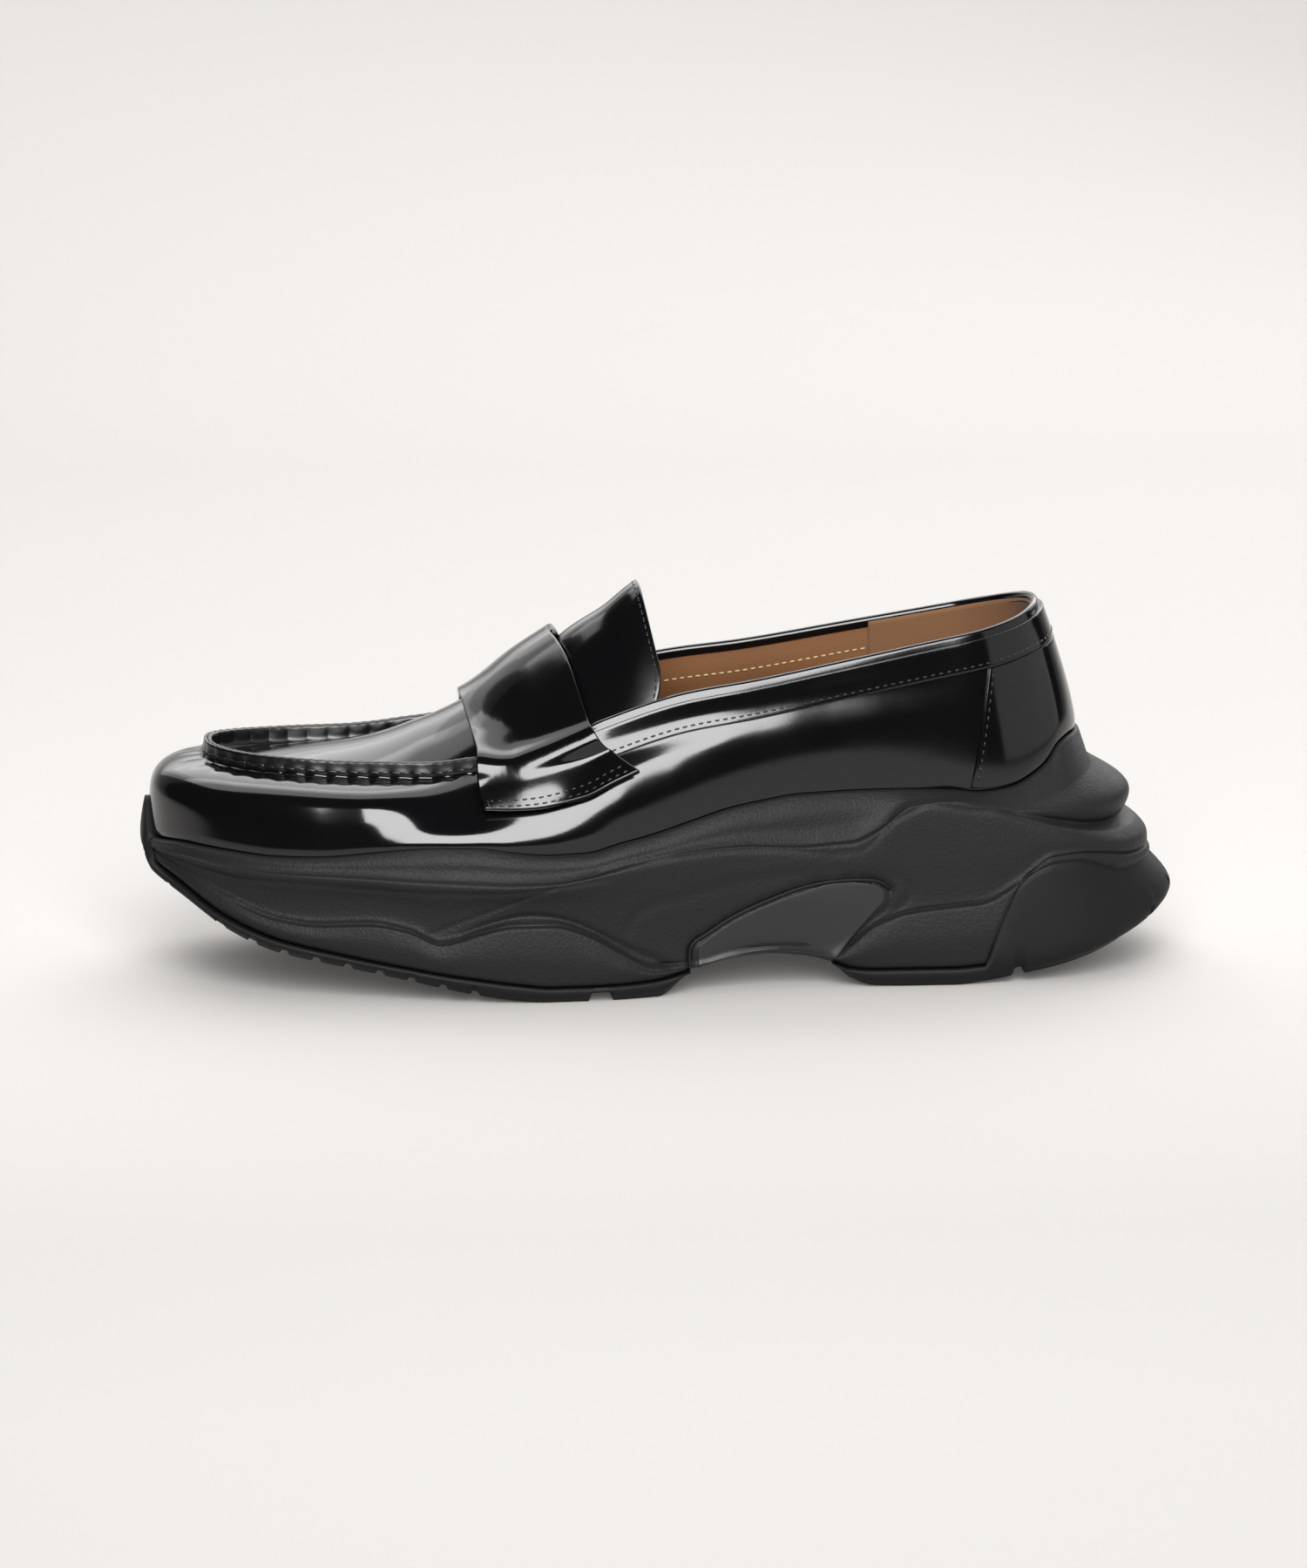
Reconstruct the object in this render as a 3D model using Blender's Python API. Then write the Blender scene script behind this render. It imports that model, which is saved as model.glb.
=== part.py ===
"""Chunky-soled strap loafer, left shoe: one faceted solid for each piece that a maker would put together.

The toe points to -X, the outer (lateral) side of the foot faces -Y and the sole stands on z = 0.
Lengths are in metres. The tables hold shares of the sizes named here, a row for each section from toe to heel.
Most pieces are rings of points that run round the shoe. A place on a ring is a signed share w:
0 is the toe tip, -1 and 1 are the back of the heel, negative is the lateral side and positive the medial side.
"""

import math

import bmesh
import bpy
import numpy as np

MM = 0.001

# Driving sizes of the sole
SHOE_LENGTH = 320 * MM
SOLE_WIDTH = 114 * MM
SOLE_SIDE_HEIGHT = 60 * MM
OUTSOLE_THICKNESS = 4.6 * MM
BUMPER_THICKNESS = 2.2 * MM
SIDE_ROUND_HEIGHT = 6.5 * MM
TOE_BUMPER_HEIGHT = 54 * MM
SOLE_TOE_ROUND = 56 * MM
SOLE_HEEL_ROUND = 48 * MM
TOE_SWING = 5 * MM
LIP_WIDTH = 1.8 * MM
LUG_DEPTH = 2.2 * MM
LUG_GROOVE_WIDTH = 3 * MM
FLEX_GROOVE_DEPTH = 3.6 * MM
FLEX_GROOVE_WIDTH = 6 * MM

# Driving sizes of the upper
UPPER_TOE_SETBACK = 2.8 * MM
HEEL_OVERHANG = 31.2 * MM
UPPER_WIDTH = 100 * MM
COLLAR_HEIGHT = 113.5 * MM
UPPER_WALL = 2.2 * MM
UPPER_TOE_ROUND = 52 * MM
UPPER_HEEL_ROUND = 36 * MM
FOOT_INSET = 4 * MM
SEAM_RIDGE_HEIGHT = 5 * MM
SEAM_RIDGE_WIDTH = 2.8 * MM
COLLAR_ROLL_HEIGHT = 0.8 * MM
STRAP_THICKNESS = 2 * MM
STRAP_STANDOFF = 1.9 * MM
STRAP_LIFT = 2 * MM
TONGUE_THICKNESS = 2.2 * MM
TONGUE_TIP_HEIGHT = 119 * MM
COUNTER_THICKNESS = 0.8 * MM
COUNTER_SLANT = 7 * MM
BAND_THICKNESS = 0.8 * MM
BAND_WIDTH = 9.2 * MM
BAND_EDGE_DROP = 1.2 * MM
INSOLE_THICKNESS = 3.5 * MM
SHANK_THICKNESS = 2.2 * MM
SHANK_RECESS = 0.8 * MM

# Small forms and edge rounds
COVER_STEP = 0.3 * MM
COVER_EASE = 1.5 * MM
COVER_ROUND = 0.2 * MM
WAVE_MARGIN = 0.8 * MM
CREASE_RISE = 0.4 * MM
SHELF_RISE = 1.8 * MM
GROOVE_RISE = 2.2 * MM
RIM_SETBACK = 0.2 * MM
RIM_FALL = 0.6 * MM
RIM_ROUND = 0.3 * MM
SEAT_DROP = 0.25 * MM
TOE_BUMPER_OVERLAP = 3 * MM
INSOLE_CHAMFER = 0.4 * MM
COUNTER_RISE = 0.8 * MM
PROBE_RISE = 0.5 * MM

# Running clearances between pieces
GAP = 0.3 * MM
COVER_GAP = 0.45 * MM
BUMPER_GAP = 0.6 * MM
EXTRA_CUT = 4 * MM

# Fineness of the rings
COLUMN_SPACING = 9.5 * MM
PLUG_CELL_COUNT = 8
CAP_CELL_COUNT = 4
SHOULDER_ROW_COUNT = 4

TOE_X = -SHOE_LENGTH / 2
HEEL_X = SHOE_LENGTH / 2
UPPER_TOE_X = TOE_X + UPPER_TOE_SETBACK
UPPER_HEEL_X = HEEL_X - HEEL_OVERHANG
UPPER_LENGTH = UPPER_HEEL_X - UPPER_TOE_X

# Half widths of the two outlines, as shares of the sole's and the upper's ball width
OUTLINE_COLUMNS = ("station", "sole_lateral", "sole_medial", "upper_lateral", "upper_medial")
OUTLINE_ROWS = (
    (0.00, 0.400, 0.410, 0.385, 0.395),
    (0.17, 0.445, 0.455, 0.445, 0.450),
    (0.26, 0.482, 0.496, 0.485, 0.490),
    (0.34, 0.500, 0.500, 0.505, 0.482),
    (0.42, 0.495, 0.465, 0.492, 0.445),
    (0.50, 0.465, 0.428, 0.452, 0.398),
    (0.59, 0.425, 0.395, 0.402, 0.362),
    (0.68, 0.400, 0.385, 0.367, 0.346),
    (0.78, 0.400, 0.390, 0.345, 0.335),
    (0.88, 0.395, 0.390, 0.338, 0.332),
    (1.00, 0.385, 0.380, 0.330, 0.326),
)

# Heights of the lines that run along the sole's side, as shares of the sole's side height
LINE_COLUMNS = ("station", "tread", "joint", "wave", "ridge", "notch", "rim")
LINE_ROWS = (
    (0.000, 0.575, 0.625, 0.645, 0.672, 0.698, 0.715),
    (0.035, 0.495, 0.567, 0.600, 0.685, 0.730, 0.750),
    (0.075, 0.380, 0.450, 0.510, 0.663, 0.715, 0.743),
    (0.125, 0.270, 0.338, 0.418, 0.647, 0.700, 0.730),
    (0.165, 0.212, 0.275, 0.392, 0.640, 0.697, 0.732),
    (0.215, 0.155, 0.218, 0.402, 0.630, 0.705, 0.758),
    (0.250, 0.118, 0.185, 0.370, 0.617, 0.710, 0.777),
    (0.280, 0.082, 0.155, 0.308, 0.607, 0.715, 0.785),
    (0.315, 0.045, 0.127, 0.358, 0.600, 0.712, 0.785),
    (0.350, 0.015, 0.100, 0.393, 0.594, 0.695, 0.760),
    (0.385, 0.000, 0.080, 0.393, 0.597, 0.685, 0.743),
    (0.420, 0.000, 0.080, 0.338, 0.622, 0.695, 0.748),
    (0.450, 0.000, 0.083, 0.247, 0.660, 0.730, 0.787),
    (0.485, 0.000, 0.093, 0.160, 0.695, 0.765, 0.830),
    (0.517, 0.110, 0.133, 0.170, 0.722, 0.805, 0.880),
    (0.560, 0.182, 0.182, 0.215, 0.732, 0.850, 0.945),
    (0.590, 0.193, 0.193, 0.226, 0.725, 0.865, 0.972),
    (0.625, 0.175, 0.175, 0.208, 0.715, 0.880, 0.996),
    (0.655, 0.120, 0.137, 0.180, 0.722, 0.890, 1.000),
    (0.672, 0.050, 0.105, 0.225, 0.728, 0.895, 1.003),
    (0.695, 0.008, 0.095, 0.320, 0.775, 0.900, 1.003),
    (0.730, 0.000, 0.095, 0.385, 0.915, 0.950, 1.000),
    (0.772, 0.000, 0.095, 0.410, 0.935, 0.960, 0.990),
    (0.797, 0.015, 0.105, 0.424, 0.905, 0.945, 0.977),
    (0.836, 0.048, 0.135, 0.530, 0.845, 0.920, 0.995),
    (0.870, 0.077, 0.165, 0.645, 0.800, 0.935, 1.045),
    (0.900, 0.110, 0.200, 0.655, 0.772, 0.960, 1.100),
    (0.930, 0.150, 0.240, 0.640, 0.748, 0.995, 1.180),
    (0.965, 0.205, 0.295, 0.610, 0.732, 1.025, 1.205),
    (1.000, 0.280, 0.370, 0.600, 0.732, 1.050, 1.205),
)

# How far out each line stands: 0 is the upper's outline and 1 the sole's outline
FLARE_COLUMNS = ("station", "tread", "side", "joint", "wave", "shelf", "waist", "ridge", "groove", "lobe", "notch")
FLARE_ROWS = (
    (0.00, -0.90, 1.00, 0.15, 0.30, 0.20, 0.35, 0.55, 0.50, 0.50, 0.50),
    (0.06, 0.30, 1.00, 0.70, 0.80, 0.55, 0.60, 0.90, 0.70, 0.60, 0.55),
    (0.14, 0.55, 0.95, 0.80, 0.85, 0.50, 0.55, 0.95, 0.70, 0.55, 0.50),
    (0.30, 0.70, 0.98, 0.92, 0.90, 0.55, 0.60, 1.00, 0.72, 0.55, 0.50),
    (0.45, 0.65, 0.95, 0.90, 0.85, 0.60, 0.70, 0.90, 0.68, 0.50, 0.45),
    (0.52, 0.45, 0.80, 0.70, 0.72, 0.72, 0.80, 0.92, 0.66, 0.48, 0.42),
    (0.62, 0.45, 0.75, 0.60, 0.68, 0.76, 0.90, 0.94, 0.66, 0.46, 0.40),
    (0.70, 0.75, 0.98, 0.92, 0.92, 0.78, 0.84, 0.86, 0.60, 0.45, 0.35),
    (0.80, 0.80, 1.00, 0.95, 0.92, 0.76, 0.80, 0.78, 0.60, 0.50, 0.35),
    (0.88, 0.80, 1.00, 0.95, 0.84, 0.80, 0.80, 0.74, 0.56, 0.56, 0.34),
    (0.94, 0.78, 1.00, 0.92, 0.80, 0.80, 0.78, 0.68, 0.53, 0.57, 0.26),
    (1.00, 0.70, 1.00, 0.88, 0.76, 0.76, 0.74, 0.64, 0.52, 0.56, 0.16),
)

# Top edge of the rubber on the sole's side, where it climbs over the toe and the heel, as shares of the side height
BUMPER_COLUMNS = ("station", "cover")
BUMPER_ROWS = (
    (0.796, 0.00),
    (0.808, 0.21),
    (0.821, 0.38),
    (0.835, 0.52),
    (0.850, 0.585),
    (0.872, 0.625),
    (0.897, 0.632),
    (0.925, 0.600),
    (0.955, 0.560),
    (1.000, 0.560),
)
TOE_BUMPER_REACH = 0.062

# Middle of the tongue's outer face, as shares of the collar height
TONGUE_COLUMNS = ("station", "height")
TONGUE_ROWS = (
    (0.352, 0.735),
    (0.375, 0.795),
    (0.397, 0.872),
    (0.412, 0.917),
    (0.450, 0.985),
    (0.483, 1.058),
    (0.510, 1.090),
)

# The upper, by station along its own length. Widths are shares of its width and heights of the collar height.
UPPER_COLUMNS = ("station", "footbed", "belly_rise", "top_lateral", "top_medial", "inset_lateral", "inset_medial",
                 "lean", "crown")
UPPER_ROWS = (
    (0.00, 0.362, 0.100, 0.586, 0.586, 0.165, 0.165, 20, 0.000),
    (0.06, 0.325, 0.090, 0.578, 0.580, 0.175, 0.168, 22, 0.004),
    (0.13, 0.290, 0.080, 0.572, 0.576, 0.185, 0.168, 25, 0.020),
    (0.20, 0.265, 0.072, 0.566, 0.576, 0.190, 0.170, 29, 0.042),
    (0.28, 0.250, 0.068, 0.566, 0.588, 0.190, 0.165, 36, 0.085),
    (0.34, 0.247, 0.070, 0.585, 0.608, 0.175, 0.150, 45, 0.132),
    (0.41, 0.250, 0.070, 0.648, 0.672, 0.140, 0.125, 56, 0.190),
    (0.49, 0.272, 0.070, 0.728, 0.748, 0.105, 0.100, 68, 0.235),
    (0.57, 0.310, 0.070, 0.790, 0.802, 0.078, 0.075, 76, 0.262),
    (0.65, 0.350, 0.065, 0.822, 0.828, 0.055, 0.055, 80, 0.262),
    (0.76, 0.385, 0.055, 0.874, 0.874, 0.045, 0.045, 81, 0.262),
    (0.86, 0.400, 0.050, 0.921, 0.918, 0.052, 0.052, 79, 0.262),
    (0.93, 0.405, 0.040, 0.953, 0.950, 0.075, 0.075, 73, 0.262),
    (1.00, 0.408, 0.022, 0.987, 0.987, 0.110, 0.110, 64, 0.262),
)

# Where pieces start and stop, as stations along the sole
FRONT_OUTSOLE_END = 0.517
REAR_OUTSOLE_START = 0.655
POD_VALLEY = 0.28
THROAT = 0.385
STRAP_FRONT_TOP = 0.308
STRAP_FRONT_END = 0.323
STRAP_REAR_TOP = 0.400
STRAP_REAR_END = 0.471
STRAP_END_RISE = 9.5 * MM
STRAP_END_SLOPE = 58 * MM
STRAP_CORNER_OUT = 1 * MM
STRAP_CORNER_UP = 0.9 * MM
STRAP_CELL_COUNT = 4
RIDGE_FADE_START = 0.305
RIDGE_FADE_END = 0.360
TONGUE_START = 0.352
TONGUE_TIP = 0.483
TONGUE_SIDE_REACH = 0.026
TONGUE_CORNER = 0.012
TONGUE_EDGE_DROP = 6 * MM
TONGUE_CLEARANCE = 1 * MM
TONGUE_CELL_COUNT = 12
TONGUE_ROW_COUNT = 6
COUNTER_FRONT = 0.805
BAND_FRONT = 0.430
FLEX_STATION = 0.431
TOE_GROOVES = (0.13, 0.19, 0.25, 0.31, 0.37, FLEX_STATION, 0.475)
HEEL_GROOVES = (0.71, 0.77, 0.834, 0.89)
SHANK_CELL_COUNT = 10
SHANK_ROW_COUNT = 2

# Side view of the shank's cheek on the midsole, stations along the sole and shares of the side height
CHEEK_COLUMNS = ("station", "low", "high")
CHEEK_ROWS = (
    (0.525, 0.145, 0.255),
    (0.540, 0.165, 0.315),
    (0.562, 0.182, 0.385),
    (0.592, 0.193, 0.455),
    (0.625, 0.178, 0.512),
    (0.652, 0.150, 0.548),
    (0.672, 0.255, 0.552),
    (0.690, 0.365, 0.540),
    (0.704, 0.450, 0.510),
)


def column(rows, names, wanted):
    """Two arrays from a table: the stations and the wanted column."""
    index = names.index(wanted)
    return np.array([row[0] for row in rows]), np.array([row[index] for row in rows], float)


def smooth(rows, names, wanted):
    """A function through a table's column with no overshoot, so that flat stretches stay flat."""
    xs, ys = column(rows, names, wanted)
    widths = np.diff(xs)
    slopes = np.diff(ys) / widths
    tangents = np.zeros_like(ys)
    for i in range(1, len(ys) - 1):
        if slopes[i - 1] * slopes[i] > 0:
            near = 2 * widths[i] + widths[i - 1]
            far = widths[i] + 2 * widths[i - 1]
            tangents[i] = (near + far) / (near / slopes[i - 1] + far / slopes[i])
    tangents[0] = slopes[0]
    tangents[-1] = slopes[-1]

    def value(x):
        x = np.clip(np.asarray(x, float), xs[0], xs[-1])
        i = np.clip(np.searchsorted(xs, x) - 1, 0, len(widths) - 1)
        t = (x - xs[i]) / widths[i]
        return ((2 * t**3 - 3 * t**2 + 1) * ys[i] + (t**3 - 2 * t**2 + t) * widths[i] * tangents[i]
                + (3 * t**2 - 2 * t**3) * ys[i + 1] + (t**3 - t**2) * widths[i] * tangents[i + 1])

    return value


def round_share(distance, length, power):
    """Growth of a half width from 0 at a round end to 1 where the round stretch stops."""
    t = np.clip(1 - distance / length, 0, 1)
    return (1 - t**power) ** (1 / power)


def hermite(t, start, start_slope, end, end_slope):
    return ((2 * t**3 - 3 * t**2 + 1) * start + (t**3 - 2 * t**2 + t) * start_slope
            + (3 * t**2 - 2 * t**3) * end + (t**3 - t**2) * end_slope)


def fade(x, start, stop):
    """Falls softly from 1 at start to 0 at stop."""
    t = np.clip((x - start) / (stop - start), 0, 1)
    return 1 - t * t * (3 - 2 * t)


HALF = {name: smooth(OUTLINE_ROWS, OUTLINE_COLUMNS, name) for name in OUTLINE_COLUMNS[1:]}
LINE = {name: smooth(LINE_ROWS, LINE_COLUMNS, name) for name in LINE_COLUMNS[1:]}
FLARE = {name: smooth(FLARE_ROWS, FLARE_COLUMNS, name) for name in FLARE_COLUMNS[1:]}
UPPER = {name: smooth(UPPER_ROWS, UPPER_COLUMNS, name) for name in UPPER_COLUMNS[1:]}
COVER = smooth(BUMPER_ROWS, BUMPER_COLUMNS, "cover")
TONGUE_LINE = smooth(TONGUE_ROWS, TONGUE_COLUMNS, "height")
CHEEK_LOW = smooth(CHEEK_ROWS, CHEEK_COLUMNS, "low")
CHEEK_HIGH = smooth(CHEEK_ROWS, CHEEK_COLUMNS, "high")

SOLE_TOE_POWER = 2.3
SOLE_HEEL_POWER = 2.3
UPPER_TOE_POWER = 2.3
UPPER_HEEL_POWER = 2.1
HEEL_FAN_START = 0.79
HEEL_FAN_SLOPE = 0.32
TOE_FAN_END = 0.15
SWING_END = 0.30


def station_x(station):
    return TOE_X + SHOE_LENGTH * station


def sole_half(side, x):
    name = np.where(side < 0, HALF["sole_lateral"]((x - TOE_X) / SHOE_LENGTH),
                    HALF["sole_medial"]((x - TOE_X) / SHOE_LENGTH))
    return (SOLE_WIDTH * name * round_share(x - TOE_X, SOLE_TOE_ROUND, SOLE_TOE_POWER)
            * round_share(HEEL_X - x, SOLE_HEEL_ROUND, SOLE_HEEL_POWER))


def upper_half(side, x):
    share = np.where(side < 0, HALF["upper_lateral"]((x - TOE_X) / SHOE_LENGTH),
                     HALF["upper_medial"]((x - TOE_X) / SHOE_LENGTH))
    return (UPPER_WIDTH * share * round_share(x - UPPER_TOE_X, UPPER_TOE_ROUND, UPPER_TOE_POWER)
            * round_share(UPPER_HEEL_X - x, UPPER_HEEL_ROUND, UPPER_HEEL_POWER))


def paired_x(x):
    """The place along the upper that faces a place along the sole's outline, fanned out round heel and toe."""
    heel_start = station_x(HEEL_FAN_START)
    toe_end = station_x(TOE_FAN_END)
    heel_run = HEEL_X - heel_start
    toe_run = toe_end - TOE_X
    at_heel = hermite(np.clip((x - heel_start) / heel_run, 0, 1), heel_start, heel_run,
                      UPPER_HEEL_X, heel_run * HEEL_FAN_SLOPE)
    at_toe = hermite(np.clip((toe_end - x) / toe_run, 0, 1), toe_end, -toe_run, UPPER_TOE_X, -toe_run)
    return np.where(x > heel_start, at_heel, np.where(x < toe_end, at_toe, x))


def arc_table(samples=2000):
    """Arc length along the mean outline of the sole, against the angle that spaces points at its round ends."""
    angle = np.linspace(0, math.pi, samples)
    x = TOE_X + SHOE_LENGTH * (1 - np.cos(angle)) / 2
    half = (sole_half(-np.ones_like(x), x) + sole_half(np.ones_like(x), x)) / 2
    steps = np.hypot(np.diff(x), np.diff(half))
    arc = np.concatenate([[0], np.cumsum(steps)])
    return angle, arc


ANGLES, ARCS = arc_table()
HALF_GIRTH = ARCS[-1]


def wrap(w):
    return (np.asarray(w, float) + 1) % 2 - 1


def sole_x(w):
    angle = np.interp(np.abs(wrap(w)) * HALF_GIRTH, ARCS, ANGLES)
    return TOE_X + SHOE_LENGTH * (1 - np.cos(angle)) / 2


def share_at(station):
    """The ring share whose point on the sole's outline lies at a station."""
    angle = math.acos(1 - 2 * station)
    return float(np.interp(angle, ANGLES, ARCS) / HALF_GIRTH)


def swing(x):
    t = np.clip((station_x(SWING_END) - x) / (station_x(SWING_END) - TOE_X), 0, 1)
    return TOE_SWING * t * t


def sole_plan(w):
    x = sole_x(w)
    side = np.where(wrap(w) < 0, -1.0, 1.0)
    return np.stack([x, swing(x) + side * sole_half(side, x)], -1)


def upper_plan(w):
    x = paired_x(sole_x(w))
    side = np.where(wrap(w) < 0, -1.0, 1.0)
    return np.stack([x, swing(x) + side * upper_half(side, x)], -1)


def plan_normal(plan, w, step=1e-3):
    """Unit normal of an outline that points out of the shoe."""
    along = plan(w + step) - plan(w - step)
    normal = np.stack([-along[..., 1], along[..., 0]], -1)
    return normal / np.linalg.norm(normal, axis=-1, keepdims=True)


def station_of(w):
    return (sole_x(w) - TOE_X) / SHOE_LENGTH


def upper_station(w):
    return (upper_plan(w)[..., 0] - UPPER_TOE_X) / UPPER_LENGTH


def line_height(name, w):
    return SOLE_SIDE_HEIGHT * LINE[name](station_of(w))


def sided(name, w):
    """A column of the upper's table that differs between the lateral and the medial side."""
    station = upper_station(w)
    return np.where(wrap(w) < 0, UPPER[name + "_lateral"](station), UPPER[name + "_medial"](station))


def footbed_height(w):
    return COLLAR_HEIGHT * UPPER["footbed"](upper_station(w))


def belly_height(w):
    return line_height("rim", w) + COLLAR_HEIGHT * UPPER["belly_rise"](upper_station(w))


def top_height(w):
    return COLLAR_HEIGHT * sided("top", w)


def top_inset(w):
    return UPPER_WIDTH * sided("inset", w)


def lower_inset(w, z):
    """Inset of the upper's wall below its widest line."""
    foot = footbed_height(w)
    t = np.clip((z - foot) / (belly_height(w) - foot), 0, 1)
    return FOOT_INSET * (1 - t) ** 2


def shoulder(w, t):
    """Inset and height of the upper's wall from its widest line (t = 0) to the seam or topline (t = 1)."""
    belly = belly_height(w)
    top = top_height(w)
    inset = top_inset(w)
    lean = np.radians(UPPER["lean"](upper_station(w)))
    reach = 0.42 * np.hypot(inset, top - belly)
    inner = inset - reach * np.cos(lean)
    upper = top - reach * np.sin(lean)
    lower = belly + 0.42 * (top - belly)
    return (3 * (1 - t) * t**2 * inner + t**3 * inset,
            (1 - t) ** 3 * belly + 3 * (1 - t) ** 2 * t * lower + 3 * (1 - t) * t**2 * upper + t**3 * top)


def upper_point(w, inset, z):
    place = upper_plan(w) - plan_normal(upper_plan, w) * np.asarray(inset)[..., None]
    return np.concatenate([place, (np.zeros_like(place[..., :1]) + np.asarray(z)[..., None])], -1)


def ridge_height(w):
    """Height of the raised seam round the plug, which sinks under the strap to the collar's rolled edge."""
    share = fade(station_of(w), RIDGE_FADE_START, RIDGE_FADE_END)
    return COLLAR_ROLL_HEIGHT + (SEAM_RIDGE_HEIGHT - COLLAR_ROLL_HEIGHT) * share


def ridge_width(w):
    share = fade(station_of(w), RIDGE_FADE_START, RIDGE_FADE_END)
    return UPPER_WALL + (SEAM_RIDGE_WIDTH - UPPER_WALL) * share


def outer_rows(w):
    """The upper's outer face in rows from the feather edge up, then over the raised seam or the collar's edge."""
    foot = footbed_height(w) + GAP
    rim = line_height("rim", w)
    belly = belly_height(w)
    rows = [upper_point(w, lower_inset(w, z), z) for z in (foot, (foot + rim) / 2, rim)]
    rows.append(upper_point(w, np.zeros_like(w), belly))
    for k in range(1, SHOULDER_ROW_COUNT + 1):
        inset, z = shoulder(w, k / SHOULDER_ROW_COUNT)
        rows.append(upper_point(w, inset, z))
    inset, top = top_inset(w), top_height(w)
    rows.append(upper_point(w, inset, top + ridge_height(w)))
    rows.append(upper_point(w, inset + ridge_width(w), top + ridge_height(w)))
    rows.append(upper_point(w, inset + ridge_width(w), top))
    return rows


def offset_rows(w, rows, depth):
    """Rows moved along the face's normal; a positive depth goes into the shoe."""
    step = 1e-3
    grid = np.array(rows)
    ahead = np.array(outer_rows(w + step))[:len(rows)]
    behind = np.array(outer_rows(w - step))[:len(rows)]
    up = np.gradient(grid, axis=0)
    normal = np.cross(ahead - behind, up)
    normal /= np.linalg.norm(normal, axis=-1, keepdims=True)
    return grid + normal * depth


def crown(w_station):
    return COLLAR_HEIGHT * UPPER["crown"](w_station)


class Body:
    """Points and faces of one closed solid."""

    def __init__(self):
        self.points = []
        self.faces = []

    def add(self, points):
        start = len(self.points)
        self.points.extend(np.asarray(points, float).reshape(-1, 3))
        return list(range(start, len(self.points)))

    def strip(self, low, high, closed):
        count = len(low)
        for i in range(count if closed else count - 1):
            j = (i + 1) % count
            self.faces.append((low[i], low[j], high[j], high[i]))

    def fan(self, tip, chain):
        for a, b in zip(chain, chain[1:]):
            self.faces.append((tip, a, b))

    def span(self, ring, middle, pairs, tips=(True, True)):
        """Closes a ring with chains from its lateral to its medial side; middle(i) gives a chain's inner points."""
        half = len(ring) // 2
        chains = [[ring[i], *self.add(middle(i)), ring[len(ring) - i]] for i in pairs]
        for one, two in zip(chains, chains[1:]):
            self.strip(one, two, False)
        if tips[0]:
            self.fan(ring[0], chains[0])
        if tips[1]:
            self.fan(ring[half], chains[-1])
        return chains

    def build(self, name, material, sharp_angle=40):
        mesh = bpy.data.meshes.new(name)
        mesh.from_pydata([tuple(p) for p in self.points], [], self.faces)
        work = bmesh.new()
        work.from_mesh(mesh)
        bmesh.ops.recalc_face_normals(work, faces=work.faces)
        bmesh.ops.triangulate(work, faces=work.faces)
        work.to_mesh(mesh)
        work.free()
        mesh.shade_smooth()
        mesh.set_sharp_from_angle(angle=math.radians(sharp_angle))
        made = bpy.data.objects.new(name, mesh)
        bpy.context.scene.collection.objects.link(made)
        if material:
            mesh.materials.append(material)
        return made


def chain_between(start, end, count, rise):
    """Inner points of a line between two points that bulges up by rise at its middle."""
    t = np.linspace(0, 1, count + 1)[1:-1]
    line = start + (end - start) * t[:, None]
    line[:, 2] += rise * (1 - (2 * t - 1) ** 2)
    return line


def knot_shares(stations):
    """Ring shares for one side, at each named station and evenly between them."""
    knots = [0.0] + [share_at(s) for s in stations] + [1.0]
    shares = [0.0]
    for a, b in zip(knots, knots[1:]):
        count = max(1, round((b - a) * HALF_GIRTH / COLUMN_SPACING))
        shares += [a + (b - a) * k / count for k in range(1, count + 1)]
    return np.array(shares)


SHARES = knot_shares((POD_VALLEY, THROAT, FRONT_OUTSOLE_END, REAR_OUTSOLE_START, 0.796, 0.835))
LAST = len(SHARES) - 1
RING = np.concatenate([-SHARES, SHARES[-2:0:-1]])


def index_at(station):
    return int(np.argmin(np.abs(SHARES - share_at(station))))


def cover_height(w):
    """Top edge of the outsole's rubber on the side of the sole."""
    station = station_of(w)
    joint = line_height("joint", w)
    climb = np.where(station > BUMPER_ROWS[0][0], SOLE_SIDE_HEIGHT * COVER(station), 0)
    toe = joint + (TOE_BUMPER_HEIGHT - joint) * fade(np.abs(wrap(w)), 0, TOE_BUMPER_REACH) ** 1.5
    return np.maximum(np.maximum(joint, climb), toe)


def covered_share(w):
    """0 where the rubber only lies under the sole, 1 where it also covers the sole's side."""
    return np.clip((cover_height(w) - line_height("joint", w) - COVER_STEP) / COVER_EASE, 0, 1)


def cover_reach(w):
    """The cover's height here or one column further on, whichever is higher."""
    step = COLUMN_SPACING / HALF_GIRTH
    return np.maximum(cover_height(w), np.maximum(cover_height(w - step), cover_height(w + step)))


def wall_point(w, flare, z):
    inner, outer = upper_plan(w), sole_plan(w)
    place = inner + (outer - inner) * np.asarray(flare)[..., None]
    return np.concatenate([place, np.asarray(z)[..., None] + np.zeros_like(place[..., :1])], -1)


def gap_width(w):
    return np.linalg.norm(sole_plan(w) - upper_plan(w), axis=-1)


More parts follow.
